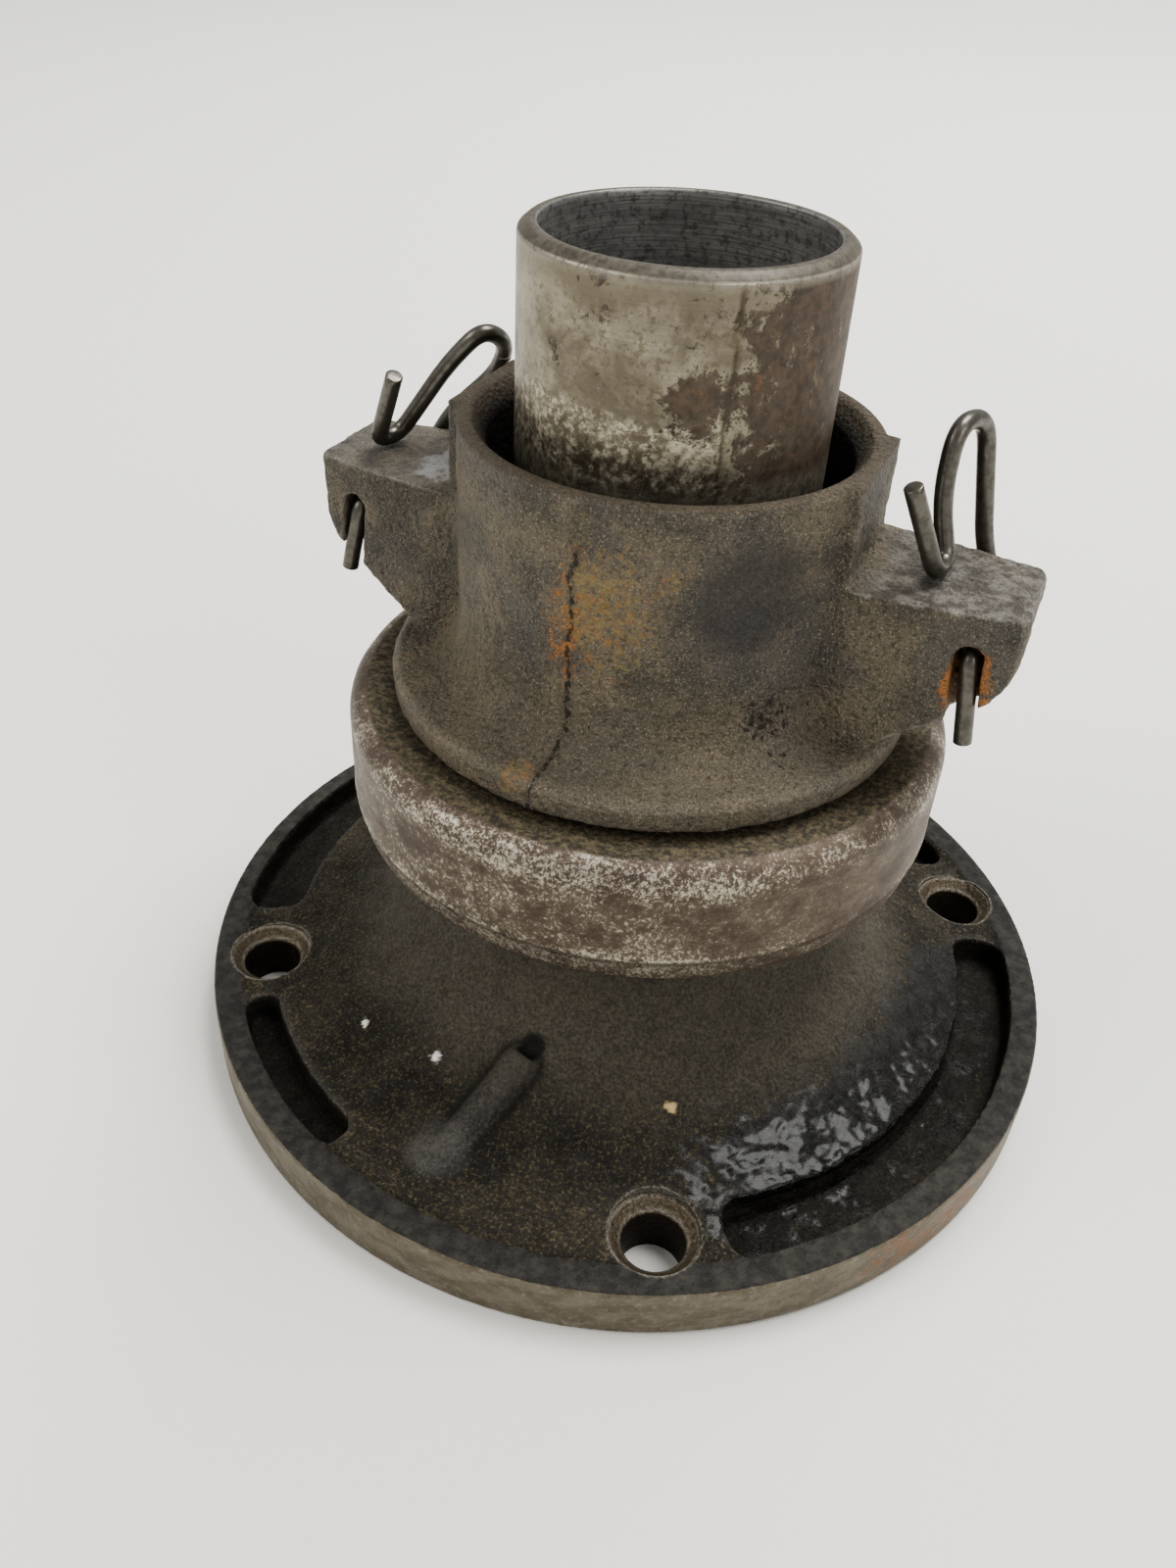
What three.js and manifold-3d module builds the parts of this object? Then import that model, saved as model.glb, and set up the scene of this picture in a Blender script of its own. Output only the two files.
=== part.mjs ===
// Clutch release bearing with its hub and two spring clips, sliding on the guide
// tube of a gearbox input-shaft bearing retainer. Millimetres, +Z up along the
// shaft axis. The origin is the centre of the retainer's gearbox face, and the
// hub's two fork ears lie along +X and -X.

import * as THREE from 'three';
import { mergeVertices } from 'three/addons/utils/BufferGeometryUtils.js';
import Module from 'manifold-3d';

const wasm = await Module();
wasm.setup();

// ---------------------------------------------------------------- dimensions

const TURN_STEPS = 40; // facets round a large turned piece
const SEAL_STEPS = 24; // facets round the small pieces of the oil seal
const FIT_GAP = 0.3; // space left between pieces that are pressed together
const UP_TURN = Math.PI / 2; // stands a three.js lathe or extrusion up along +Z

const flange = { r: 75, top: 10.4, landInner: 70.3, edge: 0.5, landStep: 0.4 };
const cone = { footR: 61, footZ: 10.9, neckR: 30, neckTop: 46 };
const boltHole = { circleR: 65.1, r: 4.9, sinkR: 6.9, sinkDepth: 2.2, sides: 16 };
const boltAngles = [33.1, 116.4, 213.1, 296.4]; // degrees from +X, a rectangle of holes
const pocketFloor = 4.6;
const gearboxBearing = { r: 46.5, depth: 5 }; // recess that centres on the gearbox bearing
const sealBore = { r: 26.3, bottom: 11, top: 20, mouthR: 36, lipR: 38 };
const shaftR = 17.5; // the input shaft that the oil seal runs on

const tube = { r: 22.225, boreR: 19.6, bottom: 24.3, top: 133.8, chamferR: 1.35, chamferZ: 1.1 };

const hub = {
  bottom: 46.3, spigotR: 30, diskR: 40.7, diskBottom: 65.8, diskTop: 70.4, filletR: 7,
  collarR: 30.3, rimInnerR: 28.2, reliefR: 26.1, reliefBottom: 88, top: 108.2, leadIn: 3,
  guideR: 22.325, grooveR: 24, grooveBottom: 62, grooveTop: 73,
};
const ear = { top: 94.5, tip: 54.4, tipHalf: 8.6, midU: 44, midHalf: 10.2, rootHalf: 11.6, rootU: 20 };
const earPad = { face: 30.4, half: 10.4 };
const clipHole = { u: 47.9, z: 87.5, r: 2, slotDepth: 5.2, tilt: 0.1, sides: 16 };

const ball = { r: 4.35, pitchR: 38.5, z: 55.2, count: 16, clearance: 0.25 };
const innerRace = { boreR: 30.3, bottom: 48.3, top: 65.5, lowR: 34.3, highR: 36.3 };
const thrustRing = { r: 46.3, bottom: 44.6, top: 61.5, flangeR: 36, flangeTop: 47.4, edge: 0.7 };
const cage = { innerR: 37.3, outerR: 39.7, bottom: 49.6, top: 60.8, holeGap: 0.3, holeSides: 14 };
const shell = { r: 47.8, wall: 1.2, bottom: 44.5, beadZ: 48.5, skirtR: 47.1, top: 64.9, shoulderR: 3.5 };
const shellLip = { r: 37, dip: 1 }; // the shell's inner edge, lower than its shoulder
const greaseSeal = { innerR: 37, outerR: 45.8, bottom: 61.8, top: 62.4 };

const wire = { r: 1.3, sides: 6, steps: 52 };

// ------------------------------------------------------------------ materials

function paint(color, roughness, metalness) {
  return new THREE.MeshStandardMaterial({ color, roughness, metalness });
}

const oilyCastIron = paint(0x2b2823, 0.55, 0.6);
const wornTubeSteel = paint(0x8d867e, 0.4, 0.85);
const sandCastIron = paint(0x4b463f, 0.75, 0.55);
const stampedSteel = paint(0x7d746b, 0.5, 0.8);
const bearingSteel = paint(0xa5a5a4, 0.25, 0.95);
const springSteel = paint(0x55524d, 0.45, 0.85);
const zincSteel = paint(0x8f9092, 0.45, 0.8);
const blackRubber = paint(0x191918, 0.8, 0);
const brownPolymer = paint(0x5b4630, 0.6, 0);

// ------------------------------------------------------------- solid modelling

// A closed three.js geometry as a solid that can be joined and cut.
function solidOf(geometry) {
  const bare = geometry.index ? geometry.toNonIndexed() : geometry.clone();
  bare.deleteAttribute('normal');
  bare.deleteAttribute('uv');
  const merged = mergeVertices(bare, 1e-4);
  return new wasm.Manifold(new wasm.Mesh({
    numProp: 3,
    vertProperties: new Float32Array(merged.attributes.position.array),
    triVerts: new Uint32Array(merged.index.array),
  }));
}

function geometryOf(solid) {
  const mesh = solid.getMesh();
  const geometry = new THREE.BufferGeometry();
  geometry.setAttribute('position', new THREE.BufferAttribute(mesh.vertProperties, mesh.numProp));
  geometry.setIndex(new THREE.BufferAttribute(mesh.triVerts, 1));
  return geometry;
}

// A ring turned from a closed section of [radius, height] corners, counter-clockwise.
function turnedRing(section, steps = TURN_STEPS) {
  const corners = [...section, section[0]].map(([r, z]) => new THREE.Vector2(r, z));
  return new THREE.LatheGeometry(corners, steps).rotateX(UP_TURN);
}

// An outline in x and y, pulled up from one height to another.
function pulledUp(shape, bottom, top, curveSegments = 8) {
  const depth = top - bottom;
  const geometry = new THREE.ExtrudeGeometry(shape, { depth, bevelEnabled: false, curveSegments });
  return geometry.translate(0, 0, bottom);
}

// An outline in x and z, pulled along y from one place to another.
function pulledAcross(shape, fromY, toY, curveSegments = 8) {
  const depth = toY - fromY;
  const geometry = new THREE.ExtrudeGeometry(shape, { depth, bevelEnabled: false, curveSegments });
  return geometry.rotateX(UP_TURN).translate(0, toY, 0);
}

function block(fromX, toX, fromY, toY, fromZ, toZ) {
  const geometry = new THREE.BoxGeometry(toX - fromX, toY - fromY, toZ - fromZ);
  return geometry.translate((fromX + toX) / 2, (fromY + toY) / 2, (fromZ + toZ) / 2);
}

// Section corners on an arc about a centre, from one angle to another in degrees.
function arcCorners(centreR, centreZ, radius, fromDeg, toDeg, count) {
  return Array.from({ length: count + 1 }, (_, i) => {
    const angle = THREE.MathUtils.degToRad(fromDeg + ((toDeg - fromDeg) * i) / count);
    return [centreR + radius * Math.cos(angle), centreZ + radius * Math.sin(angle)];
  });
}

function atAngle(r, degrees) {
  const angle = THREE.MathUtils.degToRad(degrees);
  return [r * Math.cos(angle), r * Math.sin(angle)];
}

// ---------------------------------------------------------- retainer casting

// The cone's outer side: a hollow curve from the flange up to the neck.
function coneCorners() {
  const curve = new THREE.CubicBezierCurve(
    new THREE.Vector2(cone.footR, cone.footZ),
    new THREE.Vector2(46, 14),
    new THREE.Vector2(31, 24),
    new THREE.Vector2(cone.neckR + 0.4, cone.neckTop - 2),
  );
  return curve.getPoints(7).map((point) => [point.x, point.y]);
}

function castingBody() {
  const { r, top, edge, landInner, landStep } = flange;
  return turnedRing([
    [gearboxBearing.r, 0],
    [r - edge, 0],
    [r, edge],
    [r, top - edge],
    [r - edge, top],
    [landInner, top],
    [landInner - landStep, top - landStep],
    ...coneCorners(),
    [cone.neckR, cone.neckTop],
    [tube.r + FIT_GAP, cone.neckTop],
    [tube.r + FIT_GAP, tube.bottom - FIT_GAP],
    [tube.boreR + 1, tube.bottom - FIT_GAP],
    [tube.boreR + 1, sealBore.top],
    [sealBore.r, sealBore.top],
    [sealBore.r, sealBore.bottom],
    [sealBore.mouthR, sealBore.bottom],
    [sealBore.lipR, gearboxBearing.depth],
    [gearboxBearing.r, gearboxBearing.depth],
  ]);
}

// A kidney-shaped lightening pocket between two angles, open upwards.
function pocket(innerR, outerR, fromDeg, toDeg, endR) {
  const endTurn = THREE.MathUtils.radToDeg(endR / innerR);
  const shape = new THREE.Shape();
  const from = THREE.MathUtils.degToRad(fromDeg + endTurn);
  const to = THREE.MathUtils.degToRad(toDeg - endTurn);
  shape.absarc(0, 0, outerR, from, to, false);
  shape.quadraticCurveTo(...atAngle(outerR, toDeg), ...atAngle(outerR - endR, toDeg));
  shape.lineTo(...atAngle(innerR + endR, toDeg));
  shape.quadraticCurveTo(...atAngle(innerR, toDeg), ...atAngle(innerR, toDeg - endTurn));
  shape.absarc(0, 0, innerR, to, from, true);
  shape.quadraticCurveTo(...atAngle(innerR, fromDeg), ...atAngle(innerR + endR, fromDeg));
  shape.lineTo(...atAngle(outerR - endR, fromDeg));
  shape.quadraticCurveTo(...atAngle(outerR, fromDeg), ...atAngle(outerR, fromDeg + endTurn));
  return solidOf(pulledUp(shape, pocketFloor, cone.footZ + 6, 6));
}

// A through hole with a countersunk mouth, for one retainer bolt.
function boltCutter(degrees) {
  const [x, y] = atAngle(boltHole.circleR, degrees);
  const profile = [
    [0, -1],
    [boltHole.r, -1],
    [boltHole.r, flange.top - boltHole.sinkDepth],
    [boltHole.sinkR, flange.top],
    [boltHole.sinkR, flange.top + 3],
    [0, flange.top + 3],
  ].map(([r, z]) => new THREE.Vector2(r, z));
  const cutter = new THREE.LatheGeometry(profile, boltHole.sides).rotateX(UP_TURN);
  return solidOf(cutter.translate(x, y, 0));
}

// The raised oil-drain rib that runs down the cone's front, with a pit at its head.
function drainRib() {
  const path = new THREE.LineCurve3(new THREE.Vector3(-5.4, -61, 7.6), new THREE.Vector3(-0.2, -44.6, 16.2));
  const ribR = 4.2;
  const section = new THREE.Shape().absarc(0, 0, ribR, 0, Math.PI * 2, false);
  const options = { steps: 1, extrudePath: path, bevelEnabled: false, curveSegments: 5 };
  const rod = solidOf(new THREE.ExtrudeGeometry(section, options));
  return [path.v1, path.v2].reduce((rib, end) => {
    const dome = new THREE.SphereGeometry(ribR, 10, 6).translate(end.x, end.y, end.z);
    return rib.add(solidOf(dome));
  }, rod);
}

function retainerCasting() {
  const pitR = 2.1;
  const pit = solidOf(new THREE.SphereGeometry(pitR, 10, 8).translate(0.7, -42.3, 20.2));
  const cutters = [
    pocket(61, 70.2, -54.3, 23.5, 3.4),
    pocket(61, 69.2, 42.9, 106.3, 3.4),
    pocket(61, 71.2, 127.3, 202.8, 3.4),
    pocket(64.5, 70.3, 222.3, 251.3, 2.6),
    ...boltAngles.map(boltCutter),
    pit,
  ];
  const blank = solidOf(castingBody()).add(drainRib());
  return geometryOf(cutters.reduce((casting, cutter) => casting.subtract(cutter), blank));
}

// ------------------------------------------------------- guide tube, oil seal

function guideTube() {
  const { r, boreR, bottom, top, chamferR, chamferZ } = tube;
  return turnedRing([
    [boreR, bottom],
    [r, bottom],
    [r, top - chamferZ],
    [r - chamferR, top],
    [boreR, top],
  ]);
}

function sealCase() {
  const r = sealBore.r - FIT_GAP;
  const plateBottom = 18.5;
  return turnedRing([
    [r - 1.1, sealBore.bottom + 0.6],
    [r, sealBore.bottom + 0.6],
    [r, sealBore.top - FIT_GAP],
    [21.6, sealBore.top - FIT_GAP],
    [21.6, plateBottom],
    [r - 1.1, plateBottom],
  ], SEAL_STEPS);
}

// The rubber lip that runs on the shaft, with a groove behind it for its spring.
function sealLip() {
  return turnedRing([
    [shaftR, 14],
    [18.3, 12.6],
    [19.3, 12.6],
    [19.3, 15],
    [20.4, 16.6],
    [24.5, 16.6],
    [24.5, 18.2],
    [19.6, 18.2],
    [18.2, 15.6],
  ], SEAL_STEPS);
}

function garterSpring() {
  return turnedRing(arcCorners(20.3, 13.9, 0.6, 0, 300, 5), SEAL_STEPS);
}

// ---------------------------------------------------------------- release hub

function hubBody() {
  return turnedRing([
    [hub.guideR, hub.bottom],
    [hub.spigotR, hub.bottom],
    [hub.spigotR, hub.diskBottom],
    [hub.diskR - 0.5, hub.diskBottom],
    [hub.diskR, hub.diskBottom + 0.6],
    [hub.diskR, hub.diskTop - 1],
    [hub.diskR - 1, hub.diskTop],
    ...arcCorners(hub.collarR + hub.filletR, hub.diskTop + hub.filletR, hub.filletR, 270, 180, 4),
    [hub.collarR, hub.top - 0.4],
    [hub.collarR - 0.4, hub.top],
    [hub.rimInnerR, hub.top],
    [hub.reliefR, hub.top - hub.leadIn],
    [hub.reliefR, hub.reliefBottom],
    [hub.guideR, hub.reliefBottom - 2],
    [hub.guideR, hub.grooveTop],
    [hub.grooveR, hub.grooveTop - 1],
    [hub.grooveR, hub.grooveBottom + 1],
    [hub.guideR, hub.grooveBottom],
  ]);
}

// Both ears in side view, with the rounded underside that the fork clears.
function earSideView(side) {
  const shape = new THREE.Shape();
  shape.moveTo(side * ear.rootU, ear.top);
  shape.lineTo(side * ear.rootU, hub.diskTop - 0.4);
  shape.lineTo(side * 36, hub.diskTop - 0.4);
  shape.lineTo(side * 46, 77.2);
  shape.quadraticCurveTo(side * ear.tip, 81, side * ear.tip, 88.5);
  shape.lineTo(side * ear.tip, ear.top);
  return pulledAcross(shape, -15, 15, 6);
}

// The ear in plan: narrower towards its tip, with rounded corners.
function earPlan(side) {
  const corner = 2;
  const shape = new THREE.Shape();
  shape.moveTo(side * ear.rootU, -ear.rootHalf);
  shape.lineTo(side * 33, -ear.rootHalf);
  shape.lineTo(side * ear.midU, -ear.midHalf);
  shape.lineTo(side * (ear.tip - corner), -ear.tipHalf);
  shape.quadraticCurveTo(side * ear.tip, -ear.tipHalf, side * ear.tip, corner - ear.tipHalf);
  shape.lineTo(side * ear.tip, ear.tipHalf - corner);
  shape.quadraticCurveTo(side * ear.tip, ear.tipHalf, side * (ear.tip - corner), ear.tipHalf);
  shape.lineTo(side * ear.midU, ear.midHalf);
  shape.lineTo(side * 33, ear.rootHalf);
  shape.lineTo(side * ear.rootU, ear.rootHalf);
  return pulledUp(shape, hub.diskTop - 3, ear.top, 4);
}

// The clip's hole through the ear, and the slot below it in the ear's front.
function clipCutter(side) {
  const { u, z, r, slotDepth, tilt, sides } = clipHole;
  const drill = new THREE.CylinderGeometry(r, r, 40, sides).translate(side * u, 0, z);
  const dropZ = 20;
  const slot = new THREE.Shape();
  slot.moveTo(side * (u - r), z);
  slot.lineTo(side * (u - r + dropZ * tilt), z - dropZ);
  slot.lineTo(side * (u + r + dropZ * tilt), z - dropZ);
  slot.lineTo(side * (u + r), z);
  const frontY = -14;
  const slotCut = pulledAcross(slot, frontY, slotDepth - ear.midHalf, 1);
  return solidOf(drill).add(solidOf(slotCut));
}

function releaseHub() {
  const coreR = hub.rimInnerR + 0.1;
  const core = solidOf(new THREE.CylinderGeometry(coreR, coreR, 4 * hub.top, TURN_STEPS).rotateX(UP_TURN));
  const sides = [1, -1];
  const additions = sides.map((side) => {
    const arm = solidOf(earSideView(side)).intersect(solidOf(earPlan(side)));
    const padX = [side * ear.rootU, side * earPad.face].sort((a, b) => a - b);
    const pad = solidOf(block(...padX, -earPad.half, earPad.half, ear.top - 5, hub.top));
    return arm.add(pad).subtract(core);
  });
  const joined = additions.reduce((body, piece) => body.add(piece), solidOf(hubBody()));
  return geometryOf(sides.reduce((body, side) => body.subtract(clipCutter(side)), joined));
}

// ------------------------------------------------------------ thrust bearing

const racewayR = ball.r + ball.clearance;

function bearingInnerRace() {
  return turnedRing([
    [innerRace.boreR, innerRace.bottom],
    [innerRace.lowR, innerRace.bottom],
    ...arcCorners(ball.pitchR, ball.z, racewayR, 204, 119, 5),
    [innerRace.highR, innerRace.top],
    [innerRace.boreR, innerRace.top],
  ]);
}

function bearingThrustRing() {
  const { r, bottom, top, flangeR, flangeTop, edge } = thrustRing;
  return turnedRing([
    [flangeR, bottom],
    [r - edge, bottom],
    [r, bottom + edge],
    [r, top],
    [ball.pitchR + racewayR - 0.2, top],
    ...arcCorners(ball.pitchR, ball.z, racewayR, 17, -60, 5),
    [ball.pitchR + 2.3, flangeTop],
    [flangeR, flangeTop],
  ]);
}

function bearingShell() {
  const { r, wall, bottom, beadZ, skirtR, top, shoulderR } = shell;
  const shoulder = arcCorners(r - shoulderR, top - shoulderR, shoulderR, 0, 90, 4);
  const inside = arcCorners(r - shoulderR, top - shoulderR, shoulderR - wall, 90, 0, 4);
  return turnedRing([
    [r - wall, bottom + 0.4],
    [skirtR, bottom],
    [skirtR + 0.2, beadZ - 0.6],
    [r + 0.1, beadZ],
    [r, beadZ + 0.8],
    ...shoulder,
    [shellLip.r, top - shellLip.dip],
    [shellLip.r, top - shellLip.dip - wall],
    ...inside,
  ]);
}

function bearingGreaseSeal() {
  const { innerR, outerR, bottom, top } = greaseSeal;
  return turnedRing([[innerR, bottom], [outerR, bottom], [outerR, top], [innerR, top]]);
}

function ballAngle(index) {
  return (index * 360) / ball.count;
}

// A plain ring with one round hole through its wall for each ball.
function ballCage() {
  const { innerR, outerR, bottom, top, holeGap, holeSides } = cage;
  const ring = solidOf(turnedRing([[innerR, bottom], [outerR, bottom], [outerR, top], [innerR, top]]));
  const holeR = ball.r + holeGap;
  const holes = Array.from({ length: ball.count }, (_, index) => {
    const drill = new THREE.CylinderGeometry(holeR, holeR, 12, holeSides).rotateZ(UP_TURN);
    drill.translate(ball.pitchR, 0, ball.z).rotateZ(THREE.MathUtils.degToRad(ballAngle(index)));
    return solidOf(drill);
  });
  return geometryOf(holes.reduce((body, hole) => body.subtract(hole), ring));
}

// --------------------------------------------------------------- spring clips

// Corners of each bent wire: outward from the axis, towards the slotted front of
// the ear, height, and how far the bend starts before the corner.
const clipCorners = {
  right: [
    [50, 8.6, 74.5, 0],
    [clipHole.u, 7.4, clipHole.z, 2.4],
    [clipHole.u, -12, clipHole.z, 2.6],
    [44.5, -12.3, 94.5, 4],
    [40.9, -11.1, 113.1, 4.4],
    [38.3, -2.8, 114.2, 4.2],
    [38.4, -1.9, 104.2, 4.5],
    [41.1, -0.8, 96.1, 2.3],
    [40.5, 3.8, 96.1, 2.3],
    [35.9, 8.1, 109, 0],
  ],
  left: [
    [50, 8.6, 76.2, 0],
    [clipHole.u, 7.4, clipHole.z, 2.4],
    [clipHole.u, -12, clipHole.z, 2.6],
    [42.7, -12.5, 96.5, 4],
    [33.7, -12.3, 105.2, 4],
    [31.2, -9.8, 110.8, 3.2],
    [32.3, -4.2, 113.9, 3.2],
    [37.7, -3.4, 108.2, 4],
    [45.9, -1.8, 96.1, 2.3],
    [47.2, 2.8, 96.1, 2.3],
    [41.5, 6.2, 108.2, 0],
  ],
};

// Straight lengths joined by a short curve at every corner.
function bentPath(corners, side) {
  const points = corners.map(([u, front, z]) => new THREE.Vector3(side * u, -front, z));
  const path = new THREE.CurvePath();
  let start = points[0];
  for (let i = 1; i < points.length - 1; i += 1) {
    const bend = corners[i][3];
    const corner = points[i];
    const before = corner.clone().add(points[i - 1].clone().sub(corner).setLength(bend));
    const after = corner.clone().add(points[i + 1].clone().sub(corner).setLength(bend));
    path.add(new THREE.LineCurve3(start, before));
    path.add(new THREE.QuadraticBezierCurve3(before, corner, after));
    start = after;
  }
  path.add(new THREE.LineCurve3(start, points[points.length - 1]));
  return path;
}

function springClip(corners, side) {
  const section = new THREE.Shape().absarc(0, 0, wire.r, 0, Math.PI * 2, false);
  return new THREE.ExtrudeGeometry(section, {
    steps: wire.steps,
    curveSegments: wire.sides / 2,
    extrudePath: bentPath(corners, side),
    bevelEnabled: false,
  });
}

// ------------------------------------------------------------------- assembly

const releaseBearing = new THREE.Group();

function place(parent, name, geometry, material) {
  const mesh = new THREE.Mesh(geometry, material);
  mesh.name = name;
  parent.add(mesh);
  return mesh;
}

const retainer = new THREE.Group();
place(retainer, 'retainer_casting', retainerCasting(), oilyCastIron);
place(retainer, 'guide_tube', guideTube(), wornTubeSteel);
place(retainer, 'seal_case', sealCase(), zincSteel);
place(retainer, 'seal_lip', sealLip(), blackRubber);
place(retainer, 'seal_garter_spring', garterSpring(), springSteel);

const hubGroup = new THREE.Group();
place(hubGroup, 'release_hub', releaseHub(), sandCastIron);
place(hubGroup, 'bearing_inner_race', bearingInnerRace(), bearingSteel);
place(hubGroup, 'spring_clip_right', springClip(clipCorners.right, 1), springSteel);
place(hubGroup, 'spring_clip_left', springClip(clipCorners.left, -1), springSteel);

const rotor = new THREE.Group();
place(rotor, 'bearing_thrust_ring', bearingThrustRing(), bearingSteel);
place(rotor, 'bearing_shell', bearingShell(), stampedSteel);
place(rotor, 'bearing_grease_seal', bearingGreaseSeal(), blackRubber);

const ballGroup = new THREE.Group();
place(ballGroup, 'ball_cage', ballCage(), brownPolymer);
for (let index = 0; index < ball.count; index += 1) {
  const name = `bearing_ball_${String(index + 1).padStart(2, '0')}`;
  const sphere = place(ballGroup, name, new THREE.SphereGeometry(ball.r, 10, 6), bearingSteel);
  sphere.position.set(...atAngle(ball.pitchR, ballAngle(index)), ball.z);
}

releaseBearing.add(retainer, hubGroup, rotor, ballGroup);

export default releaseBearing;
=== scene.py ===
"""Looks of a used clutch release bearing on a gearbox bearing retainer.

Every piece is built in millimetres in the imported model's own frame, scaled to metres when its
mesh is made, and rides on the CAD body that it belongs to.
"""

import math

import bmesh
import bpy
import numpy as np
from mathutils import Matrix, Vector, noise


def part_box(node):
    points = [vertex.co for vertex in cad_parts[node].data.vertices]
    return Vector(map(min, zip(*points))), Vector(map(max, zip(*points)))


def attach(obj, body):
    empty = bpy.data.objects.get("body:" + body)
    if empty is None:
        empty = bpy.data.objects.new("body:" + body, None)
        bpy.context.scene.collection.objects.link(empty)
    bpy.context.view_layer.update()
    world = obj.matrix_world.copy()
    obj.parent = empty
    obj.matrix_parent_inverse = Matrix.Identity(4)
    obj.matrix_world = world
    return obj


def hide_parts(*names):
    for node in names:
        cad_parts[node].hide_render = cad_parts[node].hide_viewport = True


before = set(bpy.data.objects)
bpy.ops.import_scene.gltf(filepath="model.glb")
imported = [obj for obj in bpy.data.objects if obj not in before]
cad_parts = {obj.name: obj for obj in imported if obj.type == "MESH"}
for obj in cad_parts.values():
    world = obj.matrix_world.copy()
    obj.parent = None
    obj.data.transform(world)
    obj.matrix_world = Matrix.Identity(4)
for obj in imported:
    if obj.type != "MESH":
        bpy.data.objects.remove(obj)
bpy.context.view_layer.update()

MM = 0.001
DEGREES = 57.3  # in a radian
FINE_TURN = 240  # steps round a large turned piece


# ---- sizes, in millimetres

def low(node):
    """Lowest corner of a CAD node."""
    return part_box(node)[0] / MM


def high(node):
    """Highest corner of a CAD node. Its x is also the outer radius of a turned piece."""
    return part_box(node)[1] / MM


FLANGE_R = high("retainer_casting").x
FLANGE_TOP = 10.4
LAND_INNER = 70.3
CONE_FOOT = (61.0, 10.9)
NECK_R = 30.0
NECK_TOP = high("retainer_casting").z
RECESS_R = 46.5
RECESS_DEPTH = 5.0
SEAL_BORE_R = 26.3
SEAL_BORE_BOTTOM = 11.0
SEAL_BORE_TOP = 20.0
BOLT_CIRCLE_R = 65.1
BOLT_ANGLES = (33.1, 116.4, 213.1, 296.4)
BOLT_R = 4.9
SINK_R = 6.9
SINK_DEPTH = 2.2
SINK_LIP_R = 5.2  # a worn line round the countersink's throat
POCKET_FLOOR = 4.6
RIB_LOW = Vector((-5.4, -60, 9.7))
RIB_HIGH = Vector((-0.2, -44.6, 17.8))
RIB_R = 2.8
RIB_FOOT = Vector((-6.4, -59.8, 10.0))
RIB_PIT = (0.7, -42.3, 20.2)

TUBE_R = high("guide_tube").x
TUBE_TOP = high("guide_tube").z
TUBE_BOTTOM = low("guide_tube").z
TUBE_BORE_R = 19.6
TUBE_SEAM = -53.5  # degrees from +X
TUBE_DEGREE = 0.39  # millimetres round the tube

DISK_R = high("release_hub").y
HUB_TOP = high("release_hub").z
HUB_BOTTOM = low("release_hub").z
DISK_BOTTOM = 65.8
DISK_TOP = 70.4
COLLAR_R = 30.3
EAR_TOP = 94.5
EAR_TIP = high("release_hub").x
CLIP_U = 47.9
CLIP_Z = 87.5
CLIP_HOLE_R = 2.0

SHELL_R = 47.8
SHELL_TOP = high("bearing_shell").z
SHELL_BOTTOM = low("bearing_shell").z
BALL_R = 4.35
BALL_PITCH_R = 38.5
BALL_Z = 55.2
BALL_COUNT = 16
WIRE_R = 1.3


# ---- small maths

def smooth(lo, hi, x):
    """0 below lo, 1 above hi, and a smooth rise between."""
    t = np.clip((x - lo) / (hi - lo), 0.0, 1.0)
    return t * t * (3.0 - 2.0 * t)


def polar(r, degrees):
    angle = math.radians(degrees)
    return (r * math.cos(angle), r * math.sin(angle))


def cylindrical(co):
    """Each point's radius, height, and azimuth in degrees."""
    return np.hypot(co[:, 0], co[:, 1]), co[:, 2], np.degrees(np.arctan2(co[:, 1], co[:, 0]))


def distance(co, place):
    return np.linalg.norm(co - place, axis=1)


def turn_gap(angles, middle):
    """How far each angle is from the middle one, from -180 to 180 degrees."""
    return (angles - middle + 180.0) % 360.0 - 180.0


def arc(centre_r, centre_z, radius, start, end, count):
    """Section points on an arc, angles in degrees."""
    offsets = (polar(radius, a) for a in np.linspace(start, end, count))
    return [(centre_r + r, centre_z + z) for r, z in offsets]


def bend(start, corner, end, count):
    """Points on a curve from start to end that leans towards the corner."""
    shares = np.linspace(0, 1, count)
    return [start * (1 - t) ** 2 + corner * 2 * t * (1 - t) + end * t**2 for t in shares]


def rounded(section, radius):
    """The closed section with each sharp corner replaced by a small curve."""
    points = []
    for i, corner in enumerate(section):
        here = Vector(corner)
        before = Vector(section[i - 1]) - here
        after = Vector(section[(i + 1) % len(section)]) - here
        if before.angle(after) > math.radians(155):
            points.append(tuple(here))
            continue
        start = here + before.normalized() * min(radius, before.length * 0.45)
        end = here + after.normalized() * min(radius, after.length * 0.45)
        points += map(tuple, bend(start, here, end, 3))
    return points


def spaced(section, step):
    """The closed section with points added, so that none is further than step from the next."""
    points = []
    for i, corner in enumerate(section):
        here, there = Vector(corner), Vector(section[(i + 1) % len(section)])
        parts = max(1, math.ceil((there - here).length / step))
        points += [tuple(here.lerp(there, k / parts)) for k in range(parts)]
    return points


def field(co, scale, octaves=3, seed=0.0):
    """Fractal noise about 0 at each point, with features about 1/scale millimetres across."""
    shift = Vector((seed, seed * 1.7, -seed))
    return np.array([noise.fractal(Vector(p) * scale + shift, 0.9, 2.0, octaves) for p in co])


# ---- meshes

def mesh_of(name, verts, faces):
    mesh = bpy.data.meshes.new(name)
    mesh.from_pydata([tuple(v) for v in verts], [], [tuple(f) for f in faces])
    return mesh


def belt(a, b, count):
    """Faces between two rings of points, whose first points are a and b."""
    return [(a + k, a + (k + 1) % count, b + (k + 1) % count, b + k) for k in range(count)]


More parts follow.
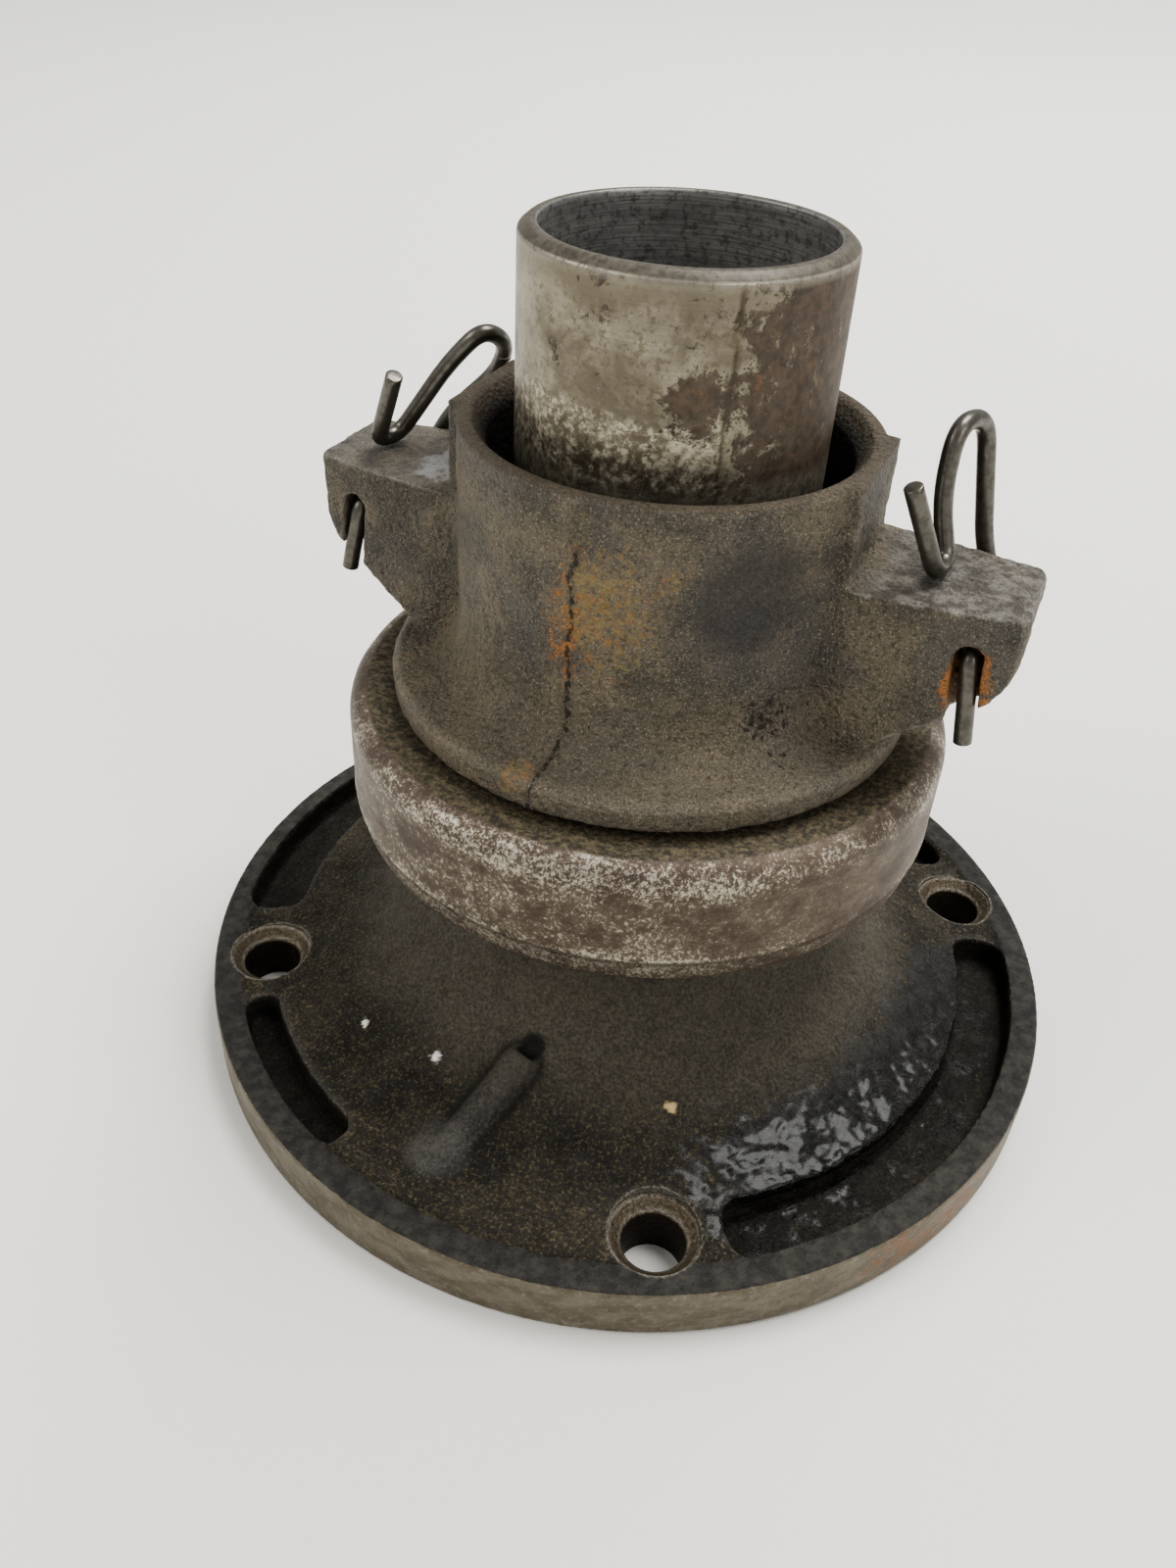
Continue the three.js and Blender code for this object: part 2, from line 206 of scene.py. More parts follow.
def ring_mesh(name, section, steps=FINE_TURN):
    """A closed ring turned from a counter-clockwise section of (radius, height)."""
    count = len(section)
    turn = np.linspace(0, 2 * math.pi, steps, endpoint=False)
    sec = np.array(section)
    verts = np.stack([
        np.outer(np.cos(turn), sec[:, 0]),
        np.outer(np.sin(turn), sec[:, 0]),
        np.broadcast_to(sec[:, 1], (steps, count)),
    ], axis=-1).reshape(-1, 3)
    faces = []
    for i in range(steps):
        a, b = i * count, ((i + 1) % steps) * count
        faces += [(a + j, b + j, b + (j + 1) % count, a + (j + 1) % count) for j in range(count)]
    return mesh_of(name, verts, faces)


def prism_mesh(name, outline, start, end, along="Z"):
    """A closed prism on an outline in (x, y) along Z, or in (x, z) along Y."""
    verts = [(x, y, h) if along == "Z" else (x, h, y) for h in (start, end) for x, y in outline]
    count = len(outline)
    caps = [tuple(reversed(range(count))), tuple(range(count, 2 * count))]
    return outward(mesh_of(name, verts, belt(0, count, count) + caps))


def round_mesh(name, profile, steps, place=(0, 0, 0)):
    """A closed solid turned about Z from a profile that starts and ends on the axis."""
    verts = [(0, 0, profile[0][1])]
    for r, z in profile[1:-1]:
        verts += [(*polar(r, 360 * i / steps), z) for i in range(steps)]
    verts.append((0, 0, profile[-1][1]))
    rows = len(profile) - 2
    faces = [(0, 1 + (i + 1) % steps, 1 + i) for i in range(steps)]
    for k in range(rows - 1):
        faces += belt(1 + k * steps, 1 + (k + 1) * steps, steps)
    last, a = len(verts) - 1, 1 + (rows - 1) * steps
    faces += [(a + i, a + (i + 1) % steps, last) for i in range(steps)]
    return outward(mesh_of(name, [Vector(v) + Vector(place) for v in verts], faces))


def outward(mesh):
    """Turns every face outwards."""
    bm = bmesh.new()
    bm.from_mesh(mesh)
    bmesh.ops.recalc_face_normals(bm, faces=bm.faces)
    bm.to_mesh(mesh)
    bm.free()
    return mesh


def sphere_mesh(name, centre, radius, steps=32):
    return round_mesh(name, arc(0, 0, radius, -90, 90, steps // 2), steps, centre)


def placed(name, data):
    """A new object in the scene."""
    thing = bpy.data.objects.new(name, data)
    bpy.context.scene.collection.objects.link(thing)
    return thing


def applied(mesh, kind, **settings):
    """The mesh after one modifier."""
    carrier = placed("carrier", mesh)
    modifier = carrier.modifiers.new(kind, kind)
    for key, value in settings.items():
        setattr(modifier, key, value)
    bpy.context.view_layer.update()
    evaluated = carrier.evaluated_get(bpy.context.evaluated_depsgraph_get())
    result = bpy.data.meshes.new_from_object(evaluated)
    bpy.data.objects.remove(carrier)
    return result


def combined(mesh, others, operation):
    """The mesh joined with, or cut by, each of the others."""
    for other in others:
        tool = placed("tool", other)
        mesh = applied(mesh, "BOOLEAN", operation=operation, object=tool, solver="MANIFOLD")
        bpy.data.objects.remove(tool)
    return mesh


def points_of(mesh):
    co = np.empty(len(mesh.vertices) * 3)
    mesh.vertices.foreach_get("co", co)
    return co.reshape(-1, 3)


def normals_of(mesh):
    normals = np.empty(len(mesh.vertices) * 3)
    mesh.vertices.foreach_get("normal", normals)
    return normals.reshape(-1, 3)


def set_points(mesh, co):
    mesh.vertices.foreach_set("co", co.ravel())
    mesh.update()


def averager(mesh):
    """A function that replaces each vertex's values with the mean over its neighbours."""
    edges = np.empty(len(mesh.edges) * 2, np.int64)
    mesh.edges.foreach_get("vertices", edges)
    one, two = edges.reshape(-1, 2).T
    total = len(mesh.vertices)
    share = np.maximum(np.bincount(one, minlength=total) + np.bincount(two, minlength=total), 1)

    def average(values):
        columns = values.reshape(total, -1).T
        sums = [
            np.bincount(one, column[two], total) + np.bincount(two, column[one], total)
            for column in columns
        ]
        return (np.array(sums) / share).T.reshape(values.shape)

    return average


def relaxed(mesh, rounds, fillet_rounds):
    """Smooths the whole mesh a little, then fills its inside corners into fillets."""
    average = averager(mesh)
    co = points_of(mesh)
    for _ in range(rounds):
        co = co + 0.5 * (average(co) - co)
    set_points(mesh, co)
    for _ in range(fillet_rounds):
        normals = normals_of(mesh)
        lift = np.maximum(np.sum((average(co) - co) * normals, axis=1), 0.0)
        co = co + normals * lift[:, None]
        set_points(mesh, co)
    return mesh


def edges_and_corners(mesh, reach, depth):
    """For each vertex, how far it stands out (0 to 1) and how far it lies in a corner (0 to 1)."""
    average = averager(mesh)
    co = points_of(mesh)
    blurred = co
    for _ in range(reach):
        blurred = average(blurred)
    stand = np.sum((co - blurred) * normals_of(mesh), axis=1)
    return np.clip(stand / depth, 0, 1), np.clip(-stand / depth, 0, 1)


def set_masks(mesh, **masks):
    """Stores shares from 0 to 1 on the vertices, for the material to read by name."""
    for name, values in masks.items():
        attribute = mesh.attributes.new(name, "FLOAT", "POINT")
        attribute.data.foreach_set("value", np.clip(values, 0, 1).astype(np.float32))


def round_spot(around, z, middle, reach, core, per_degree=0.53, per_mm=1.0):
    """1 within core of the middle (azimuth, height) and 0 beyond reach, on a turned face."""
    sideways = turn_gap(around, middle[0]) * per_degree
    return smooth(reach, core, np.hypot(sideways, (z - middle[1]) * per_mm))


def finished(name, mesh, body, material, nodes):
    """The piece in metres, shaded smooth, on its body, standing for its CAD nodes."""
    mesh.name = name
    mesh.transform(Matrix.Scale(MM, 4))
    mesh.shade_smooth()
    mesh.materials.clear()
    mesh.materials.append(material)
    piece = placed(name, mesh)
    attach(piece, body)
    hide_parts(*nodes)
    return piece


# ---- material nodes

class Paint:
    """Builds one node material. Lengths given to textures are feature sizes in millimetres."""

    def __init__(self, name):
        self.material = bpy.data.materials.new(name)
        self.material.use_nodes = True
        self.tree = self.material.node_tree
        self.shader = self.tree.nodes["Principled BSDF"]
        self.place = self.node("TexCoord").outputs["Object"]
        self.color = None

    def node(self, kind, **settings):
        """A new node with its own settings, such as a name or an operation."""
        node = self.tree.nodes.new("ShaderNode" + kind)
        for key, value in settings.items():
            setattr(node, key, value)
        return node

    def link(self, source, socket):
        if isinstance(source, bpy.types.NodeSocket):
            self.tree.links.new(source, socket)
        elif isinstance(source, tuple) and len(source) == 3 and socket.type == "RGBA":
            socket.default_value = (*source, 1.0)
        else:
            socket.default_value = source

    def feed(self, node, inputs):
        """Links or sets a node's inputs by name."""
        for key, value in inputs.items():
            self.link(value, node.inputs[key])
        return node

    def mask(self, name):
        return self.node("Attribute", attribute_name=name).outputs["Fac"]

    def texture(self, kind, scale, shift, **inputs):
        """A texture node that sees the piece's own place, scaled and shifted."""
        mapping = {"Vector": self.place, "Scale": scale, "Location": shift}
        place = self.feed(self.node("Mapping"), mapping).outputs[0]
        return self.feed(self.node(kind), {"Vector": place, "Scale": 1.0, **inputs})

    def noise(self, size, detail=4.0, roughness=0.6, stretch=(1, 1, 1), warp=0.0, seed=0.0):
        scale = [1 / (size * MM * s) for s in stretch]
        node = self.texture("TexNoise", scale, (seed, seed * 2.3, seed * 0.7),
                            Detail=detail, Roughness=roughness, Distortion=warp)
        return node.outputs["Fac"]

    def cells(self, size, seed=0.0):
        """0 at the middle of scattered cells, rising to their edges."""
        scale = [1 / (size * MM)] * 3
        return self.texture("TexVoronoi", scale, (seed, -seed, seed * 0.5)).outputs["Distance"]

    def math(self, operation, *values):
        node = self.node("Math", operation=operation)
        for value, socket in zip(values, node.inputs):
            self.link(value, socket)
        return node.outputs[0]

    def times(self, first, second):
        return self.math("MULTIPLY", first, second)

    def step(self, value, lo=0.35, hi=0.65, out_lo=0.0, out_hi=1.0):
        node = self.node("MapRange", interpolation_type="SMOOTHSTEP")
        inputs = {"Value": value, "From Min": lo, "From Max": hi, "To Min": out_lo, "To Max": out_hi}
        return self.feed(node, inputs).outputs["Result"]

    def broken(self, mask, grain, lo=0.45, hi=0.6, pull=1.0):
        """A mask whose edge is broken up by a noise."""
        shifted = self.math("MULTIPLY_ADD", grain, pull, -0.5 * pull)
        return self.step(self.math("ADD", mask, shifted), lo, hi)

    def between(self, share, first, second, kind="FLOAT"):
        """The first number at share 0, the second at share 1."""
        node = self.node("Mix", data_type=kind)
        return self.feed(node, {"Factor": share, "A": first, "B": second}).outputs["Result"]

    def blend(self, share, first, second):
        """The first colour at share 0, the second at share 1."""
        return self.between(share, first, second, "RGBA")

    def lay(self, share, color):
        """Lays a colour over what is there."""
        self.color = self.blend(share, self.color, color)

    def bump(self, height, depth, under=None):
        """A relief of the given depth in millimetres."""
        inputs = {"Strength": 1.0, "Distance": depth * MM, "Height": height}
        if under is not None:
            inputs["Normal"] = under
        return self.feed(self.node("Bump"), inputs).outputs["Normal"]

    def done(self, roughness, metallic, normal):
        inputs = {"Base Color": self.color, "Roughness": roughness, "Metallic": metallic}
        self.feed(self.shader, {**inputs, "Normal": normal})
        return self.material


def casting_paint():
    """Near-black oily cast iron, with machined bare places and brown-gold grit."""
    p = Paint("oily_cast_iron")
    lumps = p.noise(11, 5, 0.65)
    grit = p.noise(0.55, 3, 0.8, seed=3)
    dry = p.blend(p.step(lumps, 0.35, 0.68), (0.008, 0.0072, 0.0052), (0.03, 0.026, 0.017))
    dry = p.blend(p.step(grit, 0.36, 0.5, 0.7, 0.0), dry, (0.005, 0.0045, 0.004))
    dry = p.blend(p.step(grit, 0.52, 0.68, 0, 0.75), dry, (0.125, 0.098, 0.05))
    specks = p.step(p.noise(1.3, 6, 0.92, seed=41), 0.61, 0.68)
    dry = p.blend(p.times(specks, p.step(lumps, 0.36, 0.52, 0.1, 0.9)), dry, (0.3, 0.235, 0.115))
    # Lighter grey on the edges and on the rib: partly wear, partly painted highlight.
    dry = p.blend(p.times(p.mask("worn"), p.step(grit, 0.3, 0.6, 0.3, 0.75)), dry,
                  (0.092, 0.088, 0.08))
    wet = p.blend(p.step(grit, 0.5, 0.75, 0, 0.5), (0.0055, 0.0052, 0.0048), (0.035, 0.028, 0.018))
    soaked = p.broken(p.mask("oil"), p.noise(5, 6, 0.8, seed=19), 0.36, 0.62, 2.2)
    p.color = p.blend(soaked, dry, wet)
    dust = p.times(p.mask("dust"), p.step(grit, 0.35, 0.65, 0.35, 0.9))
    p.lay(dust, (0.088, 0.078, 0.058))
    # Painted shade, laid in the casting's hollow corners, its pockets, the pit above the rib and along
    # the rib's foot.
    p.lay(p.times(p.mask("dirt"), 0.85), (0.005, 0.0046, 0.004))
    land = p.blend(p.step(p.noise(2.0, 5, 0.7, seed=23), 0.35, 0.7), (0.013, 0.0125, 0.011),
                   (0.04, 0.037, 0.031))
    p.lay(p.mask("land"), land)
    bronze = p.blend(p.step(grit), (0.045, 0.034, 0.022), (0.115, 0.092, 0.062))
    machined = p.broken(p.mask("machined"), p.noise(2.2, 5, 0.65, seed=8), 0.4, 0.62, 0.5)
    stain = p.noise(5.5, 5, 0.65, (1, 1, 0.45), seed=11)
    bare = p.blend(p.step(stain), (0.165, 0.145, 0.108), (0.105, 0.086, 0.058))
    bare = p.blend(p.step(p.noise(1.2, 4, 0.7, seed=21), 0.5, 0.75, 0, 0.6), bare, (0.26, 0.25, 0.215))
    bare = p.blend(p.broken(p.mask("rust"), p.noise(3, 5, 0.7, seed=14), 0.5, 0.8), bare,
                   (0.19, 0.085, 0.032))
    bare = p.blend(p.mask("sink"), bare, bronze)
    p.lay(machined, bare)
    # Painted shade: the bolt holes' bores are laid near-black.
    p.lay(p.mask("bore"), (0.013, 0.01, 0.007))
    p.lay(p.times(p.mask("lips"), p.step(grit, 0.35, 0.6, 0.2, 0.9)), (0.27, 0.25, 0.21))
    crumb = p.blend(p.mask("tan"), (0.78, 0.76, 0.7), (0.52, 0.38, 0.2))
    p.lay(p.mask("crumb"), crumb)
    rough = p.step(p.noise(3.2, 4, 0.6, seed=17), 0.3, 0.7, 0.56, 0.8)
    rough = p.between(soaked, rough, p.step(grit, 0.4, 0.7, 0.14, 0.36))
    rough = p.between(p.mask("land"), rough, 0.6)
    rough = p.between(machined, rough, 0.44)
    metal = p.between(machined, 0.0, 0.6)
    pits = p.bump(p.noise(3.0, 5, 0.66, seed=1), 0.35)
    pools = p.times(p.mask("oil"), p.noise(2.6, 4, 0.6, warp=0.8, seed=37))
    grain = p.bump(pools, 2.6, p.bump(grit, 0.24, pits))
    normal = p.bump(p.step(p.cells(1.1, 31), 0.1, 0.5), 0.07, grain)
    p.feed(p.shader, {"Specular IOR Level": 0.26, "Coat Roughness": 0.2})
    p.feed(p.shader, {"Coat Weight": p.times(soaked, 0.25)})
    return p.done(rough, metal, normal)


def tube_paint():
    """Worn steel gone grey-brown, with pits and a film of rust."""
    p = Paint("worn_tube_steel")
    cloud = p.noise(9, 6, 0.62, warp=0.3, seed=2)
    fine = p.noise(1.1, 5, 0.75, seed=5)
    turned = p.noise(0.45, 4, 0.6, (30, 30, 0.6), seed=4)
    blots = p.noise(4.6, 8, 0.74, (1, 1, 1.15), 0.35, seed=6)
    steel = p.blend(p.step(cloud, 0.36, 0.66), (0.15, 0.133, 0.098), (0.35, 0.318, 0.247))
    steel = p.blend(p.step(fine, 0.38, 0.5, 0.7, 0.0), steel, (0.115, 0.095, 0.064))
    steel = p.blend(p.step(fine, 0.58, 0.72, 0, 0.4), steel, (0.5, 0.465, 0.37))
    fret = p.broken(p.mask("fret"), cloud, 0.35, 0.75, 1.4)
    steel = p.blend(p.times(fret, p.step(fine, 0.5, 0.6, 0, 0.8)), steel, (0.56, 0.525, 0.42))
    steel = p.blend(p.times(fret, p.step(fine, 0.38, 0.5, 0.65, 0.0)), steel, (0.11, 0.092, 0.062))
    steel = p.blend(p.step(turned, 0.4, 0.6, 0.18, 0.0), steel, (0.12, 0.105, 0.08))
    steel = p.blend(p.times(p.mask("band"), 0.6), steel, (0.2, 0.175, 0.13))
    brown = p.blend(p.step(p.noise(1.6, 6, 0.75, seed=12)), (0.032, 0.021, 0.013),
                    (0.086, 0.058, 0.036))
    orange = p.step(p.noise(3, 5, 0.7, seed=25), 0.58, 0.75, 0, 0.6)
    brown = p.blend(orange, brown, (0.21, 0.095, 0.035))
    rust = p.broken(p.mask("rust"), blots, 0.47, 0.58, 1.6)
    flecks = p.broken(p.mask("rust"), fine, 0.6, 0.72, 1.6)
    cover = p.math("MAXIMUM", rust, flecks)
    p.color = p.blend(p.times(cover, 0.92), steel, brown)
    oily = p.blend(p.step(fine), (0.075, 0.07, 0.052), (0.2, 0.183, 0.138))
    p.lay(p.broken(p.mask("dark"), cloud, 0.3, 0.8, 0.7), oily)
    honed = p.blend(p.step(turned), (0.125, 0.125, 0.122), (0.23, 0.23, 0.222))
    glaze = p.step(p.noise(9, 3, 0.5, seed=15), 0.48, 0.66, 0, 0.5)
    honed = p.blend(glaze, honed, (0.29, 0.287, 0.275))
    honed = p.blend(p.step(fine, 0.38, 0.5, 0.6, 0.0), honed, (0.06, 0.056, 0.05))
    p.lay(p.mask("bore"), honed)
    dull = p.blend(p.step(fine), (0.04, 0.034, 0.025), (0.09, 0.079, 0.059))
    p.lay(p.mask("rim"), dull)
    p.lay(p.times(p.mask("edge"), p.step(fine, 0.35, 0.5, 0.3, 0.9)), (0.48, 0.45, 0.38))
    p.lay(p.times(p.mask("seam"), 0.75), (0.05, 0.034, 0.02))
    rough = p.between(cover, p.step(fine, 0.3, 0.7, 0.3, 0.46), 0.6)
    metal = p.between(cover, 0.92, 0.25)
    metal = p.between(p.math("MAXIMUM", p.mask("bore"), p.mask("dark")), metal, 0.45)
    metal = p.between(p.mask("rim"), metal, 0.3)
    rough = p.between(p.mask("rim"), rough, 0.5)
    scratches = p.bump(turned, 0.022)
    normal = p.bump(cover, 0.05, p.bump(fine, 0.03, scratches))
    return p.done(rough, metal, normal)


def hub_paint():
    """Sandy cast iron gone grey-brown, with orange rust, worn edges, and painted shade and highlights.
    """
    p = Paint("sand_cast_iron")
    sand = p.noise(0.3, 3, 0.8)
    grain = p.noise(0.85, 3, 0.6, seed=2)
    lumps = p.noise(9, 5, 0.6, seed=3)
    spread = p.noise(2.4, 6, 0.8, seed=27)
    p.color = p.blend(p.step(lumps, 0.38, 0.6), (0.079, 0.07, 0.052), (0.162, 0.136, 0.094))
    p.lay(p.step(p.noise(15, 3, 0.5, seed=13), 0.46, 0.6, 0, 0.6), (0.074, 0.071, 0.068))
    p.lay(p.times(p.mask("dust"), 0.45), (0.19, 0.155, 0.1))
    # Painted shade and highlight on the sand relief: the low parts of the grain and sand are darkened,
    # the high grains lightened.
    p.lay(p.step(grain, 0.36, 0.5, 0.45, 0.0), (0.03, 0.025, 0.018))
    p.lay(p.step(sand, 0.38, 0.5, 0.4, 0.0), (0.03, 0.025, 0.018))
    p.lay(p.step(sand, 0.55, 0.66, 0, 0.75), (0.38, 0.335, 0.25))
    p.lay(p.times(p.mask("stain"), 0.62), (0.036, 0.034, 0.033))
    # Lighter edges: partly wear, partly painted highlight.
    edge = p.broken(p.mask("worn"), sand, 0.45, 0.75, 0.8)
    p.lay(p.times(edge, 0.5), (0.25, 0.23, 0.19))
    rubbed = p.blend(p.step(p.noise(2.6, 5, 0.7, seed=33), 0.4, 0.6), (0.09, 0.081, 0.068),
                     (0.29, 0.278, 0.248))
    rubbed = p.blend(p.step(sand, 0.38, 0.5, 0.7, 0.0), rubbed, (0.04, 0.034, 0.026))
    p.lay(p.times(p.mask("bare"), 0.9), rubbed)
    film = p.blend(p.step(sand), (0.04, 0.031, 0.021), (0.125, 0.098, 0.064))
    p.lay(p.times(p.mask("film"), 0.85), film)
    # Painted shade: the gap inside the hub, round the tube, is laid near-black.
    p.lay(p.mask("deep"), (0.01, 0.0085, 0.0065))
    speckle = p.broken(p.mask("tint"), p.noise(1.25, 6, 0.85, seed=29), 0.5, 0.72, 3.0)
    warm = p.blend(p.step(spread, 0.46, 0.6), (0.29, 0.225, 0.08), (0.36, 0.155, 0.036))
    p.lay(p.times(speckle, 0.55), warm)
    ochre = p.blend(p.step(sand, 0.3, 0.7), (0.22, 0.085, 0.02), (0.56, 0.23, 0.045))
    rust = p.broken(p.mask("rust"), p.noise(1.7, 8, 0.9, seed=7), 0.58, 0.76, 2.8)
    p.lay(p.times(rust, 0.8), ochre)
    # Painted shade in the hub's hollow corners, with its crack and a crust darkened too.
    dark = p.broken(p.mask("dirt"), grain, 0.5, 0.72, 2.0)
    p.lay(p.times(dark, 0.9), (0.014, 0.01, 0.007))
    salt = p.broken(p.mask("salt"), spread, 0.62, 0.9, 2.4)
    p.lay(p.times(salt, 0.6), (0.34, 0.35, 0.35))
    rough = p.step(sand, 0.3, 0.7, 0.46, 0.7)
    rough = p.between(p.mask("bare"), rough, 0.46)
    metal = p.between(p.mask("bare"), 0.25, 0.5)
    humps = p.bump(p.noise(2.6, 4, 0.7, seed=17), 0.25)
    normal = p.bump(sand, 0.22, p.bump(grain, 1.35, humps))
    return p.done(rough, metal, normal)


def shell_paint():
    """Brown-grey stamped steel, rubbed silver in flecks on its shoulder and bead, there partly as a
    painted highlight.
    """
    p = Paint("stamped_steel")
    fleck = p.noise(0.55, 5, 0.85, (1, 1, 1.1), seed=1)
    patch = p.noise(7, 8, 0.8, (1.3, 1.3, 0.8), seed=4)
    p.color = p.blend(p.step(patch, 0.36, 0.62), (0.062, 0.043, 0.03), (0.15, 0.12, 0.086))
    p.lay(p.step(fleck, 0.38, 0.5, 0.7, 0.0), (0.046, 0.031, 0.022))
    mottle = p.step(patch, 0.4, 0.62, 0, 0.3)
    # Silver flecks: partly rubbed wear, partly a painted highlight along the shoulder and bead.
    silver_share = p.math("ADD", p.mask("worn"), mottle)
    silver = p.broken(silver_share, fleck, 0.52, 0.74, 2.8)
    p.lay(p.times(silver, 0.92), (0.45, 0.415, 0.35))
    grease = p.blend(p.step(p.noise(0.9, 5, 0.8, seed=8), 0.4, 0.66), (0.02, 0.016, 0.009),
                     (0.135, 0.108, 0.062))
    p.lay(p.broken(p.mask("grease"), fleck, 0.35, 0.65, 0.9), grease)
    rough = p.between(silver, p.step(fleck, 0.3, 0.7, 0.4, 0.56), 0.34)
    rough = p.between(p.mask("grease"), rough, 0.7)
    metal = p.between(silver, 0.5, 0.92)
    metal = p.between(p.mask("grease"), metal, 0.0)
    return p.done(rough, metal, p.bump(fleck, 0.07, p.bump(patch, 0.1)))


def wire_paint():
    """Dark drawn spring wire with small bare rubs."""
    p = Paint("spring_steel")
    rub = p.noise(1.3, 5, 0.7, seed=2)
    p.color = p.blend(p.step(rub, 0.35, 0.6), (0.085, 0.079, 0.066), (0.125, 0.119, 0.104))
    p.lay(p.step(p.noise(2.6, 5, 0.7, seed=6), 0.56, 0.72, 0, 0.5), (0.085, 0.06, 0.038))
    p.lay(p.step(rub, 0.68, 0.76, 0, 0.8), (0.4, 0.39, 0.36))
    rust = p.broken(p.mask("rust"), rub, 0.5, 0.7, 1.0)
    p.lay(rust, (0.3, 0.13, 0.035))
    rough = p.between(rust, p.step(rub, 0.3, 0.7, 0.42, 0.28), 0.7)
    metal = p.between(rust, 0.85, 0.15)
    return p.done(rough, metal, p.bump(rub, 0.03))


def plain_paint(name, dark, light, rough, metallic, size, depth):
    """A quiet material with fine mottling, for the pieces inside."""
    p = Paint(name)
    grain = p.noise(size, 5, 0.65)
    p.color = p.blend(p.step(grain, 0.3, 0.7), dark, light)
    return p.done(p.step(grain, 0.3, 0.7, *rough), metallic, p.bump(grain, depth))


def paper_paint():
    p = Paint("paper_floor")
    fibre = p.noise(1.8, 4, 0.6)
    # Painted light: the floor is lighter towards the back, as if lit more there.
    back = p.feed(p.node("SeparateXYZ"), {"Vector": p.place}).outputs["Y"]
    p.color = p.blend(p.step(back, -0.1, 1.3), (0.7, 0.688, 0.655), (0.9, 0.897, 0.885))
    p.lay(p.step(fibre, 0.3, 0.7, 0, 0.06), (0.55, 0.54, 0.52))
    return p.done(0.85, 0.0, p.bump(p.noise(30, 3, 0.5), 0.4))


# ---- retainer casting

def casting_section():
    foot, neck = Vector(CONE_FOOT), Vector((NECK_R + 0.4, NECK_TOP - 2))
    pull = [foot, Vector((46, 14)), Vector((31, 24)), neck]
    cone = []
    for t in np.linspace(0, 1, 26):
        weights = ((1 - t) ** 3, 3 * t * (1 - t) ** 2, 3 * t * t * (1 - t), t**3)
        cone.append(tuple(sum((q * w for w, q in zip(weights, pull)), Vector((0, 0)))))
    neck_bore = TUBE_R + 0.2
    return [
        (RECESS_R, 0), (FLANGE_R - 0.5, 0), (FLANGE_R, 0.5), (FLANGE_R, FLANGE_TOP - 0.5),
        (FLANGE_R - 0.5, FLANGE_TOP), (LAND_INNER, FLANGE_TOP), (LAND_INNER - 0.5, FLANGE_TOP - 0.6),
        *cone, (NECK_R, NECK_TOP), (neck_bore, NECK_TOP), (neck_bore, 24), (20.6, 24),
        (20.6, SEAL_BORE_TOP), (SEAL_BORE_R, SEAL_BORE_TOP), (SEAL_BORE_R, SEAL_BORE_BOTTOM),
        (36, SEAL_BORE_BOTTOM), (38, RECESS_DEPTH), (RECESS_R, RECESS_DEPTH),
    ]


def pocket_mesh(inner, outer, start, end):
    """A kidney pocket between two radii and two angles, with round corners, open upwards."""
    corner = min(3.4, (outer - inner) * 0.42)
    ends = []
    for side, degrees in ((1, end), (-1, start)):
        for centre_r, first in ((outer - corner, 0), (inner + corner, 90)):
            offset = math.degrees(corner / centre_r)
            middle = Vector(polar(centre_r, degrees - side * offset))
            sweep = np.linspace(first, first + 90, 6)
            ends.append([
                tuple(middle + corner * Vector(polar(1, degrees + side * a))) for a in sweep
            ])
    far_out, far_in, near_out, near_in = ends
    turn = math.degrees(corner / outer)
    outer_arc = [polar(outer, a) for a in np.linspace(start + 1.3 * turn, end - 1.3 * turn, 40)]
    inner_arc = [polar(inner, a) for a in np.linspace(end - 1.3 * turn, start + 1.3 * turn, 40)]
    outline = outer_arc + far_out + far_in + inner_arc + near_in[::-1] + near_out[::-1]
    return prism_mesh("pocket", outline, POCKET_FLOOR, FLANGE_TOP + 8)


def bolt_cutter(degrees):
    throat = FLANGE_TOP - SINK_DEPTH
    cone = [tuple(q) for q in np.linspace((BOLT_R, throat), (SINK_R, FLANGE_TOP - 0.3), 9)]
    profile = [(0, -2), (BOLT_R - 0.1, -2), (BOLT_R - 0.1, throat - 0.3), *cone,
               (SINK_R + 0.2, FLANGE_TOP + 4), (0, FLANGE_TOP + 4)]
    return round_mesh("bolt", profile, 48, (*polar(BOLT_CIRCLE_R, degrees), 0))


def drain_rib():
    """The raised oil-drain rib on the cone's front."""
    along = RIB_HIGH - RIB_LOW
    profile = arc(0, 0, RIB_R, -90, 0, 8) + arc(0, along.length, RIB_R, 0, 90, 8)
    mesh = round_mesh("rib", profile, 32)
    turn = along.to_track_quat("Z", "Y").to_matrix().to_4x4()
    mesh.transform(Matrix.Translation(RIB_LOW) @ turn)
    return mesh


def rib_distance(co):
    """Distance of each point from the rib's centre line."""
    start, along = np.array(RIB_LOW), np.array(RIB_HIGH - RIB_LOW)
    share = np.clip((co - start) @ along / (along @ along), 0, 1)
    return np.linalg.norm(co - start - share[:, None] * along, axis=1)


def bolt_distance(co):
    """Distance of each point from the nearest bolt's axis."""
    centres = np.array([polar(BOLT_CIRCLE_R, a) for a in BOLT_ANGLES])
    return np.min([np.hypot(*(co[:, :2] - c).T) for c in centres], axis=0)


# Places of three light crumbs that lie on the cone, and their radii. One of them is tan.
TAN_CRUMB = (24.1, -40.4, 16.1)
CRUMBS = (((-14.0, -47.0, 15.0), 0.95), (TAN_CRUMB, 1.0), ((-28.9, -44.6, 13.2), 0.7))


